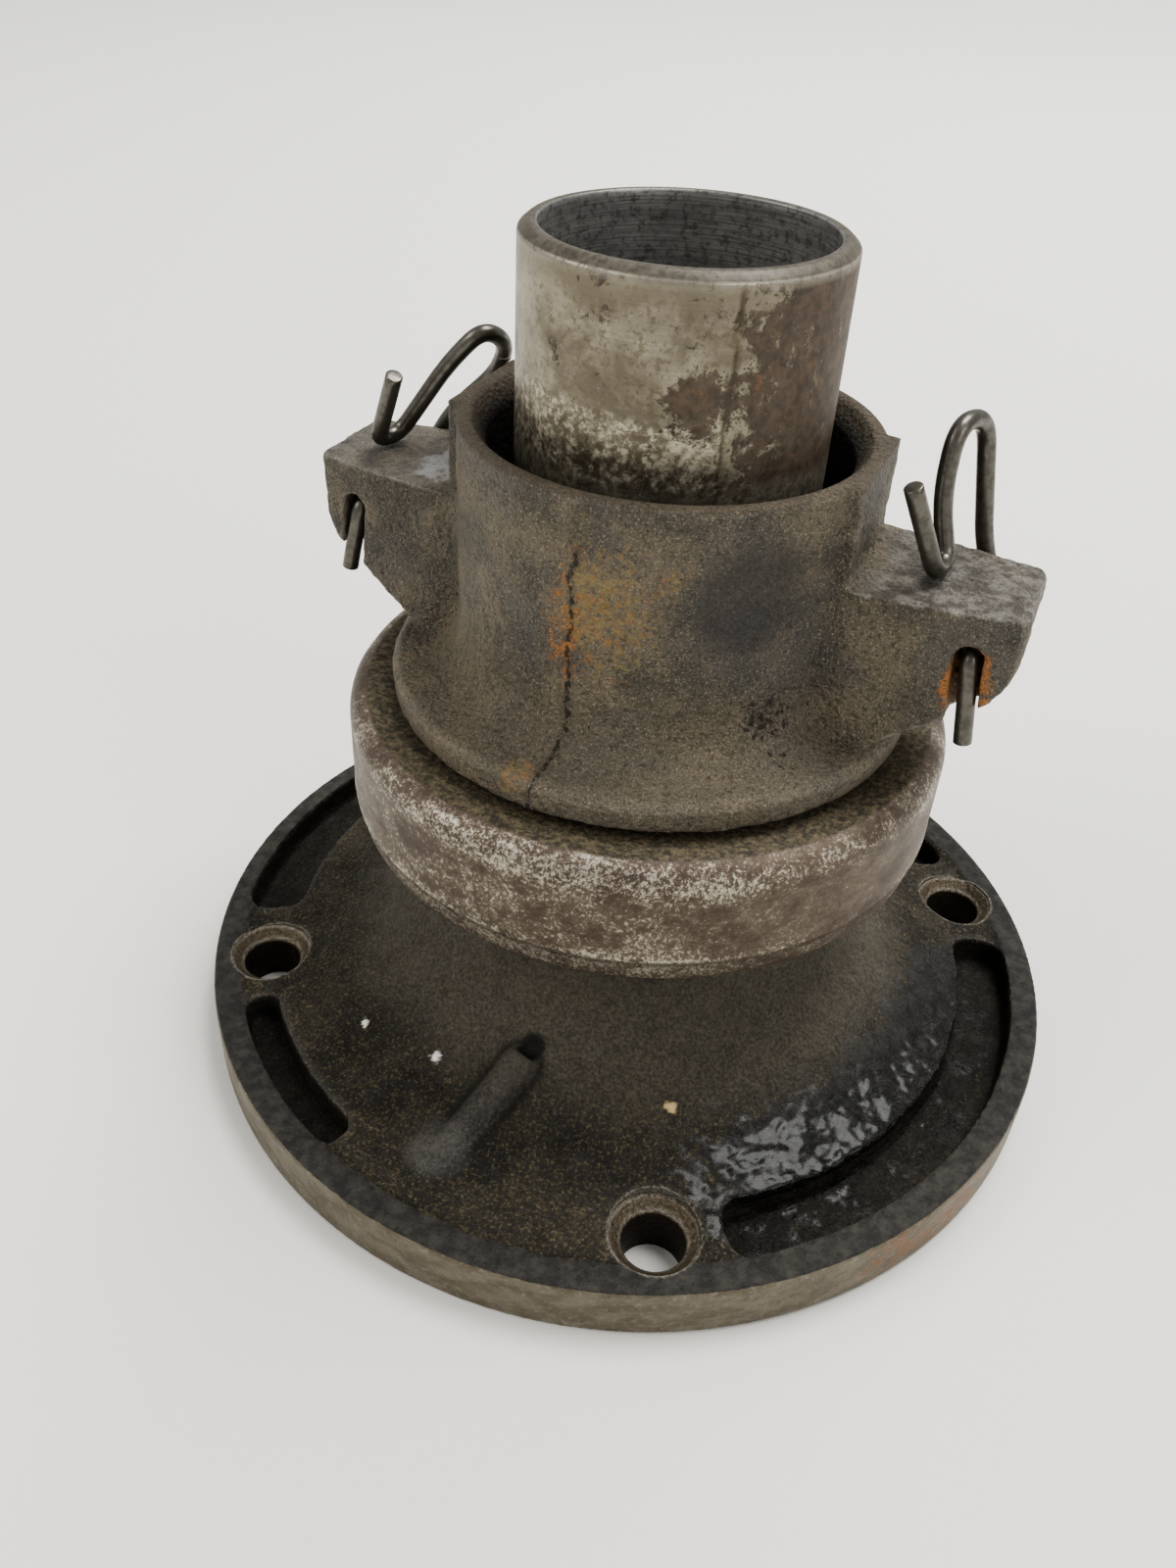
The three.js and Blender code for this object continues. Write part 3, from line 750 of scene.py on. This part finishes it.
def cast_skin():
    """The casting before its bolt holes are drilled, with its as-cast lumps."""
    mesh = ring_mesh("casting", casting_section(), 288)
    foot = sphere_mesh("foot", (0, 0, 0), 4.9)
    foot.transform(Matrix.Translation(RIB_FOOT) @ Matrix.Diagonal((1, 1.1, 0.46, 1)))
    mesh = combined(mesh, [drain_rib(), foot], "UNION")
    pockets = [
        pocket_mesh(61, 70.2, -54.3, 23.5), pocket_mesh(61, 69.2, 42.9, 106.3),
        pocket_mesh(61, 71.2, 127.3, 202.8), pocket_mesh(64.5, 70.3, 222.3, 251.3),
    ]
    pit = sphere_mesh("pit", RIB_PIT, 2.1, 20)
    mesh = combined(mesh, pockets + [pit], "DIFFERENCE")
    mesh = applied(mesh, "REMESH", mode="VOXEL", voxel_size=0.45)
    mesh = relaxed(mesh, 2, 10)
    co, normals = points_of(mesh), normals_of(mesh)
    r, _, around = cylindrical(co)
    bank = smooth(44, 30, np.abs(turn_gap(around, -18))) * smooth(50, 56, r) * smooth(67, 63, r)
    cast = 1 - np.maximum.reduce(cast_zones(co)[:3])
    rough = (0.14 + 0.22 * bank) * field(co, 1 / 5, 4) + 0.09 * field(co, 1 / 1.6, 2, 5)
    for place, size in CRUMBS:
        rough += 0.35 * smooth(size, 0.3 * size, distance(co, place))
    set_points(mesh, co + normals * (cast * rough)[:, None])
    return mesh


def cast_zones(co):
    """Where the casting is a turned side, a turned land, hidden machining, or a pocket."""
    r, z, _ = cylindrical(co)
    side = smooth(FLANGE_R - 0.6, FLANGE_R - 0.2, r) * smooth(0.3, 0.8, FLANGE_TOP + 0.2 - z)
    land = smooth(LAND_INNER - 0.3, LAND_INNER + 0.3, r) * (z > FLANGE_TOP - 0.8) * (side < 0.5)
    inside = (r < NECK_R - 0.5) | ((r < RECESS_R + 0.3) & (z < 4.9))
    hidden = np.maximum(smooth(0.5, 0.1, z), inside)
    pocket = smooth(FLANGE_TOP - 0.2, FLANGE_TOP - 1.6, z) * (r > 60.5) * (r < FLANGE_R - 1)
    return side, land, hidden, pocket


def make_casting():
    mesh = combined(cast_skin(), [bolt_cutter(a) for a in BOLT_ANGLES], "DIFFERENCE")
    mesh.set_sharp_from_angle(angle=math.radians(38))
    co = points_of(mesh)
    r, z, around = cylindrical(co)
    side, land, hidden, pocket = cast_zones(co)
    hole = bolt_distance(co)
    ring = smooth(SINK_R + 0.15, SINK_R - 0.1, hole)
    # The bolt holes' bores, which the paint lays near-black as painted shade.
    bore = hole < BOLT_R - 0.05
    pocket = pocket * (1 - ring)
    open_cast = (1 - side) * (1 - land) * (1 - ring) * (1 - hidden)
    # Edges that stand out and corners that sink in: the paint lightens the first, partly as painted
    # highlight, and darkens the second as painted shade.
    worn, dirt = edges_and_corners(mesh, 8, 0.35)
    oil = smooth(52, 22, np.abs(turn_gap(around, -20))) * smooth(40, 58, r) * smooth(70.5, 66, r)
    oil = oil * (1 - 0.6 * pocket)
    rib_foot = smooth(6.5, 3.5, distance(co, RIB_FOOT))
    from_rib = rib_distance(co)
    rib_top = smooth(RIB_R + 0.5, RIB_R, from_rib) * smooth(-62, -58, co[:, 1])
    rib_corner = smooth(RIB_R + 2, RIB_R + 0.7, from_rib) * smooth(RIB_R, RIB_R + 0.6, from_rib)
    pit = smooth(2.6, 1.9, distance(co, RIB_PIT))
    ragged = 0.55 * field(co, 1 / 0.8, 2, 3)
    crumb = sum(smooth(q, 0.7 * q, distance(co, place) + ragged) for place, q in CRUMBS)
    # Painted shade: the casting is darkened in its hollow corners, its pockets, the pit above the rib
    # and along the rib's foot.
    dark = [dirt * (1 - ring), 0.75 * pocket, pit, 0.85 * rib_corner * open_cast * (1 - rib_foot)]
    lips = np.maximum(smooth(0.3, 0.1, np.abs(hole - SINK_LIP_R)),
                      smooth(0.35, 0.1, np.abs(hole - SINK_R + 0.1)))
    rusty = side * smooth(24, 6, np.abs(turn_gap(around, -28))) + 0.9 * ring * smooth(5.6, 6.8, hole)
    set_masks(
        mesh,
        machined=np.maximum.reduce([side, ring, hidden * 0.8]),
        land=land * (1 - ring),
        oil=oil * open_cast,
        # Lighter where the casting stands out: partly wear on its edges, partly a painted highlight
        # along the rib's top and on its foot.
        worn=worn * 0.6 * (1 - pocket) + 0.8 * rib_foot + 0.45 * rib_top,
        dust=0.9 * smooth(54, 42, r) * open_cast,
        dirt=np.maximum.reduce(dark),
        lips=0.7 * lips * (z > FLANGE_TOP - SINK_DEPTH - 0.1),
        sink=0.85 * ring,
        bore=0.85 * bore,
        crumb=crumb,
        tan=smooth(3, 2, distance(co, TAN_CRUMB)),
        rust=rusty * 0.6,
    )
    return finished("casting_skin", mesh, "retainer", casting_paint(),
                    ["retainer_casting"])


# ---- tube and seal

def make_tube():
    section = [
        (TUBE_BORE_R, TUBE_BOTTOM), (TUBE_R, TUBE_BOTTOM), (TUBE_R, TUBE_TOP - 1.1),
        (TUBE_R - 1.35, TUBE_TOP), (TUBE_BORE_R, TUBE_TOP),
    ]
    mesh = ring_mesh("tube", spaced(rounded(section, 0.35), 0.9))
    co, normals = points_of(mesh), normals_of(mesh)
    r, z, around = cylindrical(co)
    outside = r > TUBE_R - 0.1
    wiggle = 1.1 * field(np.stack([0 * z, 0 * z, z], 1), 1 / 5, 3)
    past_seam = turn_gap(around, TUBE_SEAM + 0.05 * (z - 115)) + wiggle
    seam = smooth(1.1, 0.3, np.abs(past_seam)) * outside * smooth(100, 108, z) * smooth(133.5, 131, z)
    thick = 0.46 + 0.22 * smooth(2, 30, past_seam)
    behind = smooth(-5, 0, past_seam) * thick * smooth(150, 110, past_seam)
    ahead = 0.26 * smooth(-26, -4, past_seam) * smooth(1, -1, past_seam)
    speckled = 0.34 * smooth(118, 110, z) * smooth(-10, -2, -past_seam)
    blot = 0.44 * smooth(6.0, 1.0, np.hypot((past_seam + 9.5) * TUBE_DEGREE, z - 118.5))
    fret = smooth(120, 113, z) * smooth(104, 109, z) * smooth(2, -1, past_seam)
    chamfer = smooth(TUBE_TOP - 1.3, TUBE_TOP - 1.0, z) * (r > TUBE_BORE_R + 0.2)
    inside = smooth(TUBE_BORE_R + 0.5, TUBE_BORE_R + 0.2, r)
    cluster = smooth(9, 2, np.hypot((past_seam + 24) * TUBE_DEGREE, (z - 120) * 0.8))
    base = 0.31 + 0.08 * cluster + 0.1 * field(co, 1 / 8, 2, 12)
    rust = np.maximum.reduce([behind, ahead, speckled, base]) + blot
    set_points(mesh, co - normals * (0.1 * seam)[:, None])
    edge = 0.5 * smooth(0.45, 0.1, np.abs(z - (TUBE_TOP - 1.2))) * outside
    set_masks(
        mesh,
        rust=np.where(outside, rust, 0.25) + 0.05 * chamfer,
        dark=0.85 * smooth(112, 103, z) * outside,
        rim=0.9 * chamfer * (1 - edge),
        edge=edge,
        fret=fret * outside,
        band=smooth(TUBE_TOP - 6, TUBE_TOP - 2.5, z) * outside,
        bore=0.9 * inside,
        seam=seam,
    )
    return finished("tube_skin", mesh, "retainer", tube_paint(), ["guide_tube"])


def make_turned(name, section, body, material, node, corner=0.25):
    mesh = ring_mesh(name, spaced(rounded(section, corner), 3))
    return finished(name, mesh, body, material, [node])


def make_oil_seal():
    bore = SEAL_BORE_R - 0.3
    case_section = [
        (bore - 1.1, 11.6), (bore, 11.6), (bore, 19.7), (21.6, 19.7), (21.6, 18.5), (bore - 1.1, 18.5),
    ]
    lip_section = [
        (17.5, 14), (18.3, 12.6), (19.3, 12.6), (19.3, 15), (20.4, 16.6), (24.5, 16.6),
        (24.5, 18.2), (19.6, 18.2), (18.2, 15.6),
    ]
    steel = plain_paint("zinc_steel", (0.25, 0.25, 0.25), (0.42, 0.42, 0.41), (0.35, 0.55), 0.9, 2.0,
                        0.02)
    make_turned("seal_case_skin", case_section, "retainer", steel, "seal_case")
    make_turned("seal_lip_skin", lip_section, "retainer", RUBBER, "seal_lip", 0.2)
    make_garter_spring()


def make_garter_spring():
    """A close-wound coil bent into a ring."""
    ring_r, coil_r, wire_r, turns, per_turn = 20.3, 0.45, 0.14, 150, 10
    total = turns * per_turn
    path = []
    for i in range(total):
        a, b = 2 * math.pi * i / total, 2 * math.pi * i / per_turn
        reach = ring_r + coil_r * math.cos(b)
        path.append(Vector((reach * math.cos(a), reach * math.sin(a), 13.9 + coil_r * math.sin(b))))
    mesh = wire_mesh("garter", path, wire_r, 6, closed=True)
    finished("garter_spring_coil", mesh, "retainer", WIRE, ["seal_garter_spring"])


# ---- wires

def wire_mesh(name, path, radius, sides, closed=False):
    """A round wire along a list of points, its ends slightly rounded off."""
    count = len(path)
    tangents = []
    for i in range(count):
        after = path[(i + 1) % count] if closed or i < count - 1 else path[i]
        before = path[i - 1] if closed or i > 0 else path[i]
        tangents.append((after - before).normalized())
    across = tangents[0].orthogonal().normalized()
    verts = []
    for point, tangent in zip(path, tangents):
        across = (across - tangent * across.dot(tangent)).normalized()
        upward = tangent.cross(across)
        for k in range(sides):
            c, s = polar(radius, 360 * k / sides)
            verts.append(point + across * c + upward * s)
    faces = []
    for i in range(count if closed else count - 1):
        faces += belt(i * sides, ((i + 1) % count) * sides, sides)
    if not closed:
        for end, tangent in ((0, -tangents[0]), (count - 1, tangents[-1])):
            previous = end * sides
            for shrink, push in ((0.93, 0.1), (0.8, 0.16)):
                first = len(verts)
                middle = path[end] + tangent * push
                for k in range(sides):
                    verts.append(middle + (verts[end * sides + k] - path[end]) * shrink)
                faces += belt(previous, first, sides)
                previous = first
            faces.append(tuple(previous + k for k in range(sides)))
    return outward(mesh_of(name, verts, faces))


# Corners of each bent wire: outward from the axis, towards the front, height, start of bend.
CLIP_CORNERS = {
    "right": [
        (50, 8.6, 74.5, 0), (CLIP_U, 7.4, CLIP_Z, 2.4), (CLIP_U, -12, CLIP_Z, 2.6),
        (44.5, -12.3, 94.5, 4), (40.9, -11.1, 113.1, 4.4), (38.3, -2.8, 114.2, 4.2),
        (38.4, -1.9, 104.2, 4.5), (41.1, -0.8, 96.1, 2.3), (40.5, 3.8, 96.1, 2.3), (35.9, 8.1, 109, 0),
    ],
    "left": [
        (50, 8.6, 76.2, 0), (CLIP_U, 7.4, CLIP_Z, 2.4), (CLIP_U, -12, CLIP_Z, 2.6),
        (42.7, -12.5, 96.5, 4), (33.7, -12.3, 105.2, 4), (31.2, -9.8, 110.8, 3.2),
        (32.3, -4.2, 113.9, 3.2), (37.7, -3.4, 108.2, 4), (45.9, -1.8, 96.1, 2.3),
        (47.2, 2.8, 96.1, 2.3), (41.5, 6.2, 108.2, 0),
    ],
}


def bent_path(corners, side):
    """Points close together along straight lengths and the curves between them."""
    places = [Vector((side * u, -front, z)) for u, front, z, _ in corners]
    path = [places[0]]
    for i in range(1, len(places) - 1):
        reach, corner = corners[i][3], places[i]
        start = corner + (places[i - 1] - corner).normalized() * reach
        end = corner + (places[i + 1] - corner).normalized() * reach
        path += straight(path[-1], start)
        path += bend(start, corner, end, 14)[1:]
    return path + straight(path[-1], places[-1])


def straight(start, end):
    parts = max(1, round((end - start).length / 0.8))
    return [start.lerp(end, k / parts) for k in range(1, parts + 1)]


def make_clip(name, side):
    path = bent_path(CLIP_CORNERS[name], side)
    mesh = wire_mesh("clip", path, WIRE_R, 24)
    co = points_of(mesh)
    in_hole = smooth(92, 88, co[:, 2]) * smooth(8.2, 6.2, -co[:, 1]) * smooth(10.5, 8.5, co[:, 1])
    set_masks(mesh, rust=in_hole * (1.0 if name == "right" else 0.5))
    return finished(f"clip_wire_{name}", mesh, f"clip_{name}", WIRE,
                    [f"spring_clip_{name}"])


# ---- release hub

def hub_section():
    fillet = arc(COLLAR_R + 7, DISK_TOP + 7, 7, 270, 180, 12)
    return [
        (22.325, HUB_BOTTOM), (30, HUB_BOTTOM), (30, DISK_BOTTOM), (DISK_R - 0.5, DISK_BOTTOM),
        (DISK_R, DISK_BOTTOM + 0.6), (DISK_R, DISK_TOP - 1), (DISK_R - 1, DISK_TOP), *fillet,
        (COLLAR_R, HUB_TOP - 0.4), (COLLAR_R - 0.4, HUB_TOP), (28.2, HUB_TOP), (26.1, HUB_TOP - 3),
        (26.1, 88), (22.325, 86), (22.325, 73), (24, 72), (24, 63), (22.325, 62),
    ]


def ear_mesh(side):
    """One fork ear: its side view cut to its plan."""
    under = bend(Vector((46, 77.2)), Vector((EAR_TIP, 81)), Vector((EAR_TIP, 88.5)), 14)
    view = [(20, EAR_TOP), (20, 70), (36, 70), *under, (EAR_TIP, EAR_TOP)]
    half = [(20, 11.6), (33, 11.6), (44, 10.2), (EAR_TIP - 2, 8.75), (EAR_TIP - 0.6, 8.3),
            (EAR_TIP, 6.6)]
    plan = half + [(u, -w) for u, w in reversed(half)]
    body = prism_mesh("ear", [(side * u, z) for u, z in view], -15, 15, "Y")
    outline = prism_mesh("plan", [(side * u, w) for u, w in plan], 66, EAR_TOP + 2)
    return combined(body, [outline], "INTERSECT")


def pad_mesh(side):
    ends = sorted((side * 20.0, side * 30.4))
    outline = [(ends[0], -10.4), (ends[1], -10.4), (ends[1], 10.4), (ends[0], 10.4)]
    return prism_mesh("pad", outline, EAR_TOP - 5, HUB_TOP)


def clip_cutters(side):
    """The hole across the ear and the slot below it in the front face."""
    ring = arc(side * CLIP_U, CLIP_Z, CLIP_HOLE_R, 0, 360, 29)[:-1]
    tilt = 2.0
    slot = [
        (side * (CLIP_U - CLIP_HOLE_R), CLIP_Z), (side * (CLIP_U - CLIP_HOLE_R + tilt), CLIP_Z - 20),
        (side * (CLIP_U + CLIP_HOLE_R + tilt), CLIP_Z - 20), (side * (CLIP_U + CLIP_HOLE_R), CLIP_Z),
    ]
    return [prism_mesh("hole", ring, -20, 20, "Y"), prism_mesh("slot", slot, -14, -5, "Y")]


def make_hub():
    core = round_mesh("core", [(0, 30), (28.3, 30), (28.3, 140), (0, 140)], 192)
    mesh = ring_mesh("hub", hub_section(), 288)
    for side in (1, -1):
        arms = [combined(solid, [core], "DIFFERENCE") for solid in (ear_mesh(side), pad_mesh(side))]
        mesh = combined(mesh, arms, "UNION")
    for side in (1, -1):
        mesh = combined(mesh, clip_cutters(side), "DIFFERENCE")
    mesh = applied(mesh, "REMESH", mode="VOXEL", voxel_size=0.4)
    mesh = relaxed(mesh, 2, 14)
    co, normals = points_of(mesh), normals_of(mesh)
    r, z, around = cylindrical(co)
    inside = smooth(29.0, 28.6, r) * (z > 60)
    rim = smooth(HUB_TOP - 0.6, HUB_TOP - 0.25, z)
    spigot = smooth(DISK_BOTTOM + 0.3, DISK_BOTTOM, z)
    cast = (1 - inside) * (1 - rim) * (1 - spigot)
    line = np.stack([0 * z, 0 * z, z], 1)
    wander = field(line, 1 / 14, 2) + 0.45 * field(line, 1 / 1.8, 2, 6)
    lines = (turn_gap(around, a) * r / DEGREES + wander for a in (-92, 88))
    across = np.minimum(*map(np.abs, lines))
    parting = smooth(1.0, 0.3, across) * cast
    rough = 0.16 * field(co, 1 / 6, 4) + 0.11 * field(co, 1 / 1.3, 2, 9)
    co = co + normals * (cast * rough + 0.22 * parting)[:, None]
    set_points(mesh, co)
    # Edges that stand out and corners that sink in: the paint lightens the first, partly as painted
    # highlight, and darkens the second as painted shade.
    worn, dirt = edges_and_corners(mesh, 7, 0.3)
    far_out = smooth(31, 36, np.abs(co[:, 0]))
    ear_top = smooth(EAR_TOP - 0.6, EAR_TOP - 0.3, z) * (z < EAR_TOP + 0.5) * far_out
    ear_top = ear_top * np.where(co[:, 0] > 0, 0.8, 0.3)
    patch = round_spot(around, z, (-87, 93), 15, 2, per_mm=0.62)
    lower = round_spot(around, z, (-95, 86), 7, 1, 0.8, 0.36)
    spot = round_spot(around, z, (-66, 99), 4.2, 0.8)
    lip = round_spot(around, z, (-96, 70), 6.0, 0.5, 0.75) * smooth(35, 37, r)
    crusty = round_spot(around, z, (-38, 77), 9, 1, 0.6)
    tint = round_spot(around, z, (-84, 93), 17, 1, 0.6, 0.75)
    salt = smooth(7.5, 2.0, np.linalg.norm((co - (-35, -2, EAR_TOP)) * (1, 0.6, 1), axis=1))
    slots = sum(
        gain * smooth(5.2, 2.6, np.hypot(co[:, 0] - side * (CLIP_U + 0.6), (z - 83.5) * 0.6))
        for side, gain in ((1, 0.75), (-1, 0.36))
    ) * smooth(3, 6, -co[:, 1])
    crack = smooth(0.85, 0.1, across) * smooth(104, 100, z)
    rust = 0.4 * patch + 0.3 * lower + 0.4 * spot + 0.44 * lip + slots
    set_masks(
        mesh,
        bare=ear_top + 0.5 * spigot,
        film=np.maximum(rim, inside) + 0.45 * parting,
        # Painted shade deep in the hub's bore.
        deep=0.9 * inside * smooth(HUB_TOP - 0.4, HUB_TOP - 3, z),
        salt=salt * cast,
        rust=rust * (1 - inside),
        tint=(0.66 * tint + 0.3 * spot + 0.6 * lip) * cast,
        dust=smooth(84, 74, z) * cast * (1 - 0.5 * far_out),
        stain=round_spot(around, z, (-47, 95), 11, 5) * (r < 36),
        # Lighter edges, partly wear and partly painted highlight; darkened corners as painted shade,
        # with the crack along the parting line and a crust.
        worn=worn * cast,
        dirt=dirt + (0.75 * crack + 0.55 * crusty) * cast,
    )
    return finished("hub_skin", mesh, "hub", hub_paint(), ["release_hub"])


# ---- thrust bearing

def make_shell():
    r, wall, shoulder, bead = SHELL_R, 1.2, 3.5, 48.5
    section = [
        (r - wall, SHELL_BOTTOM + 0.4), (r - 0.9, SHELL_BOTTOM), (r - 0.35, bead - 0.8),
        (r + 0.1, bead), (r, bead + 0.9),
        *arc(r - shoulder, SHELL_TOP - shoulder, shoulder, 0, 90, 9),
        (37, SHELL_TOP - 1), (37, SHELL_TOP - 1 - wall),
        *arc(r - shoulder, SHELL_TOP - shoulder, shoulder - wall, 90, 0, 5),
    ]
    mesh = ring_mesh("shell", spaced(rounded(section, 0.3), 0.8), 360)
    co, normals = points_of(mesh), normals_of(mesh)
    r_here, z, around = cylindrical(co)
    outside = (r_here > r - shoulder - 1) & (np.sum(normals * co, axis=1) > 0)
    dents = 0.1 * field(co, 1 / 16, 2, 4) + 0.03 * field(co, 1 / 4, 2, 8)
    set_points(mesh, co + normals * (outside * dents)[:, None])
    # The silver bands on the shoulder and the bead are partly rubbed wear, partly a painted highlight
    # along their curves.
    shoulder_band = smooth(3.6, 0.8, np.abs(z - (SHELL_TOP - 2.2)))
    bead_band = smooth(1.2, 0.3, np.abs(z - bead - 0.1))
    skirt = 0.16 * smooth(bead, bead - 1, z)
    front = smooth(44, 12, np.abs(turn_gap(around, -82)))
    left = smooth(40, 12, np.abs(turn_gap(around, -130))) * smooth(64, 56, z)
    top = smooth(SHELL_TOP - 1.3, SHELL_TOP - 0.5, z) * smooth(r - 1.6, r - 4.0, r_here)
    worn = 0.22 * shoulder_band + 0.2 * bead_band + skirt + 0.16 * front + 0.12 * left + 0.08
    set_masks(mesh, worn=worn, grease=np.where(outside, top, 1.0))
    return finished("shell_skin", mesh, "thrust_rotor", shell_paint(),
                    ["bearing_shell"])


def make_bearing():
    """The races, cage, seal and balls under the shell."""
    groove = BALL_R + 0.25
    ground = plain_paint("bearing_steel", (0.42, 0.42, 0.42), (0.58, 0.58, 0.57), (0.16, 0.3), 1.0,
                         1.5, 0.01)
    moulded = plain_paint("cage_polymer", (0.2, 0.135, 0.075), (0.28, 0.2, 0.12), (0.45, 0.6), 0.0,
                          1.2, 0.03)
    inner = [
        (30.3, 48.3), (34.3, 48.3), *arc(BALL_PITCH_R, BALL_Z, groove, 204, 119, 12),
        (36.3, 65.5), (30.3, 65.5),
    ]
    outer = [
        (36, 44.6), (45.6, 44.6), (46.3, 45.3), (46.3, 61.5), (BALL_PITCH_R + groove - 0.2, 61.5),
        *arc(BALL_PITCH_R, BALL_Z, groove, 17, -60, 12), (BALL_PITCH_R + 2.3, 47.4), (36, 47.4),
    ]
    make_turned("inner_race_skin", inner, "hub", ground, "bearing_inner_race", 0.2)
    make_turned("thrust_ring_skin", outer, "thrust_rotor", ground,
                "bearing_thrust_ring", 0.3)
    washer = [(37, 61.8), (45.8, 61.8), (45.8, 62.4), (37, 62.4)]
    make_turned("grease_seal_skin", washer, "thrust_rotor", RUBBER,
                "bearing_grease_seal", 0.15)
    make_cage(moulded)
    for i in range(BALL_COUNT):
        centre = (*polar(BALL_PITCH_R, 360 * i / BALL_COUNT), BALL_Z)
        finished(f"ball_{i + 1:02d}_skin", sphere_mesh("ball", centre, BALL_R), "ball_set", ground,
                 [f"bearing_ball_{i + 1:02d}"])


def make_cage(material):
    mesh = ring_mesh("cage", rounded([(37.3, 49.6), (39.7, 49.6), (39.7, 60.8), (37.3, 60.8)], 0.3))
    drills = []
    for i in range(BALL_COUNT):
        drill = round_mesh("drill", [(0, 32), (BALL_R + 0.3, 32), (BALL_R + 0.3, 44), (0, 44)], 40)
        turn = Matrix.Rotation(math.radians(360 * i / BALL_COUNT), 4, "Z")
        outwards = turn @ Matrix.Rotation(math.pi / 2, 4, "Y")
        drill.transform(Matrix.Translation((0, 0, BALL_Z)) @ outwards)
        drills.append(drill)
    mesh = combined(mesh, drills, "DIFFERENCE")
    finished("cage_skin", mesh, "ball_set", material, ["ball_cage"])


# ---- floor, light, camera

def make_floor():
    half = 4.0
    verts = [(-half, -half, 0), (half, -half, 0), (half, half, 0), (-half, half, 0)]
    floor = placed("floor", mesh_of("floor", verts, [(0, 1, 2, 3)]))
    floor.data.materials.append(paper_paint())


# Name, place in metres, width, power, colour, and whether it shows in reflections.
LIGHTS = (
    ("ceiling", (0.35, 0.5, 1.6), 0.9, 30, (1, 0.995, 0.98), True),
    ("window", (-0.95, -0.7, 0.95), 0.8, 10, (1, 0.985, 0.95), True),
    ("right_fill", (1.15, -0.45, 0.8), 0.8, 7, (1, 1, 1), True),
    ("backdrop_wash", (0, 2.6, 1.8), 1.8, 42, (1, 0.995, 0.985), False),
)
LIT_POINT = Vector((0, 0, 0.06))


def make_lights():
    for name, place, size, power, color, shiny in LIGHTS:
        light = bpy.data.lights.new(name, "AREA")
        light.shape = "DISK"
        light.size = size
        light.energy = power
        light.color = color
        holder = placed(name, light)
        holder.location = place
        holder.visible_glossy = shiny
        holder.rotation_euler = (LIT_POINT - Vector(place)).to_track_quat("-Z", "Y").to_euler()
    world = bpy.data.worlds.new("soft_room")
    bpy.context.scene.world = world
    world.use_nodes = True
    background = world.node_tree.nodes["Background"]
    background.inputs["Color"].default_value = (1, 0.99, 0.97, 1)
    background.inputs["Strength"].default_value = 0.56
    bpy.context.scene.view_settings.look = "AgX - Medium High Contrast"


CAMERA_PLACE = (0.05695, -0.16264, 0.17374)
CAMERA_LENS = 28.86


def make_camera():
    """The photograph's viewing angle: 37 degrees down, from the front right of the hub."""
    pan, pitch, roll = -0.3882, 0.6504, 0.0584
    ahead = math.cos(pitch)
    forward = Vector((math.sin(pan) * ahead, math.cos(pan) * ahead, -math.sin(pitch)))
    level = Vector((math.cos(pan), -math.sin(pan), 0))
    upright = level.cross(forward)
    right = level * math.cos(roll) + upright * math.sin(roll)
    up = upright * math.cos(roll) - level * math.sin(roll)
    turn = Matrix((right, up, -forward)).transposed().to_4x4()
    data = bpy.data.cameras.new("camera")
    data.sensor_width = 36
    data.lens = CAMERA_LENS
    data.clip_start = 0.01
    camera = placed("camera", data)
    camera.matrix_world = Matrix.Translation(CAMERA_PLACE) @ turn
    bpy.context.scene.camera = camera


# ---- the whole object

RUBBER = plain_paint("black_rubber", (0.01, 0.01, 0.01), (0.03, 0.029, 0.028), (0.6, 0.8), 0.0, 1.0,
                     0.03)
WIRE = wire_paint()

make_camera()
make_floor()
make_lights()
make_casting()
make_tube()
make_oil_seal()
make_hub()
make_shell()
make_bearing()
make_clip("right", 1)
make_clip("left", -1)
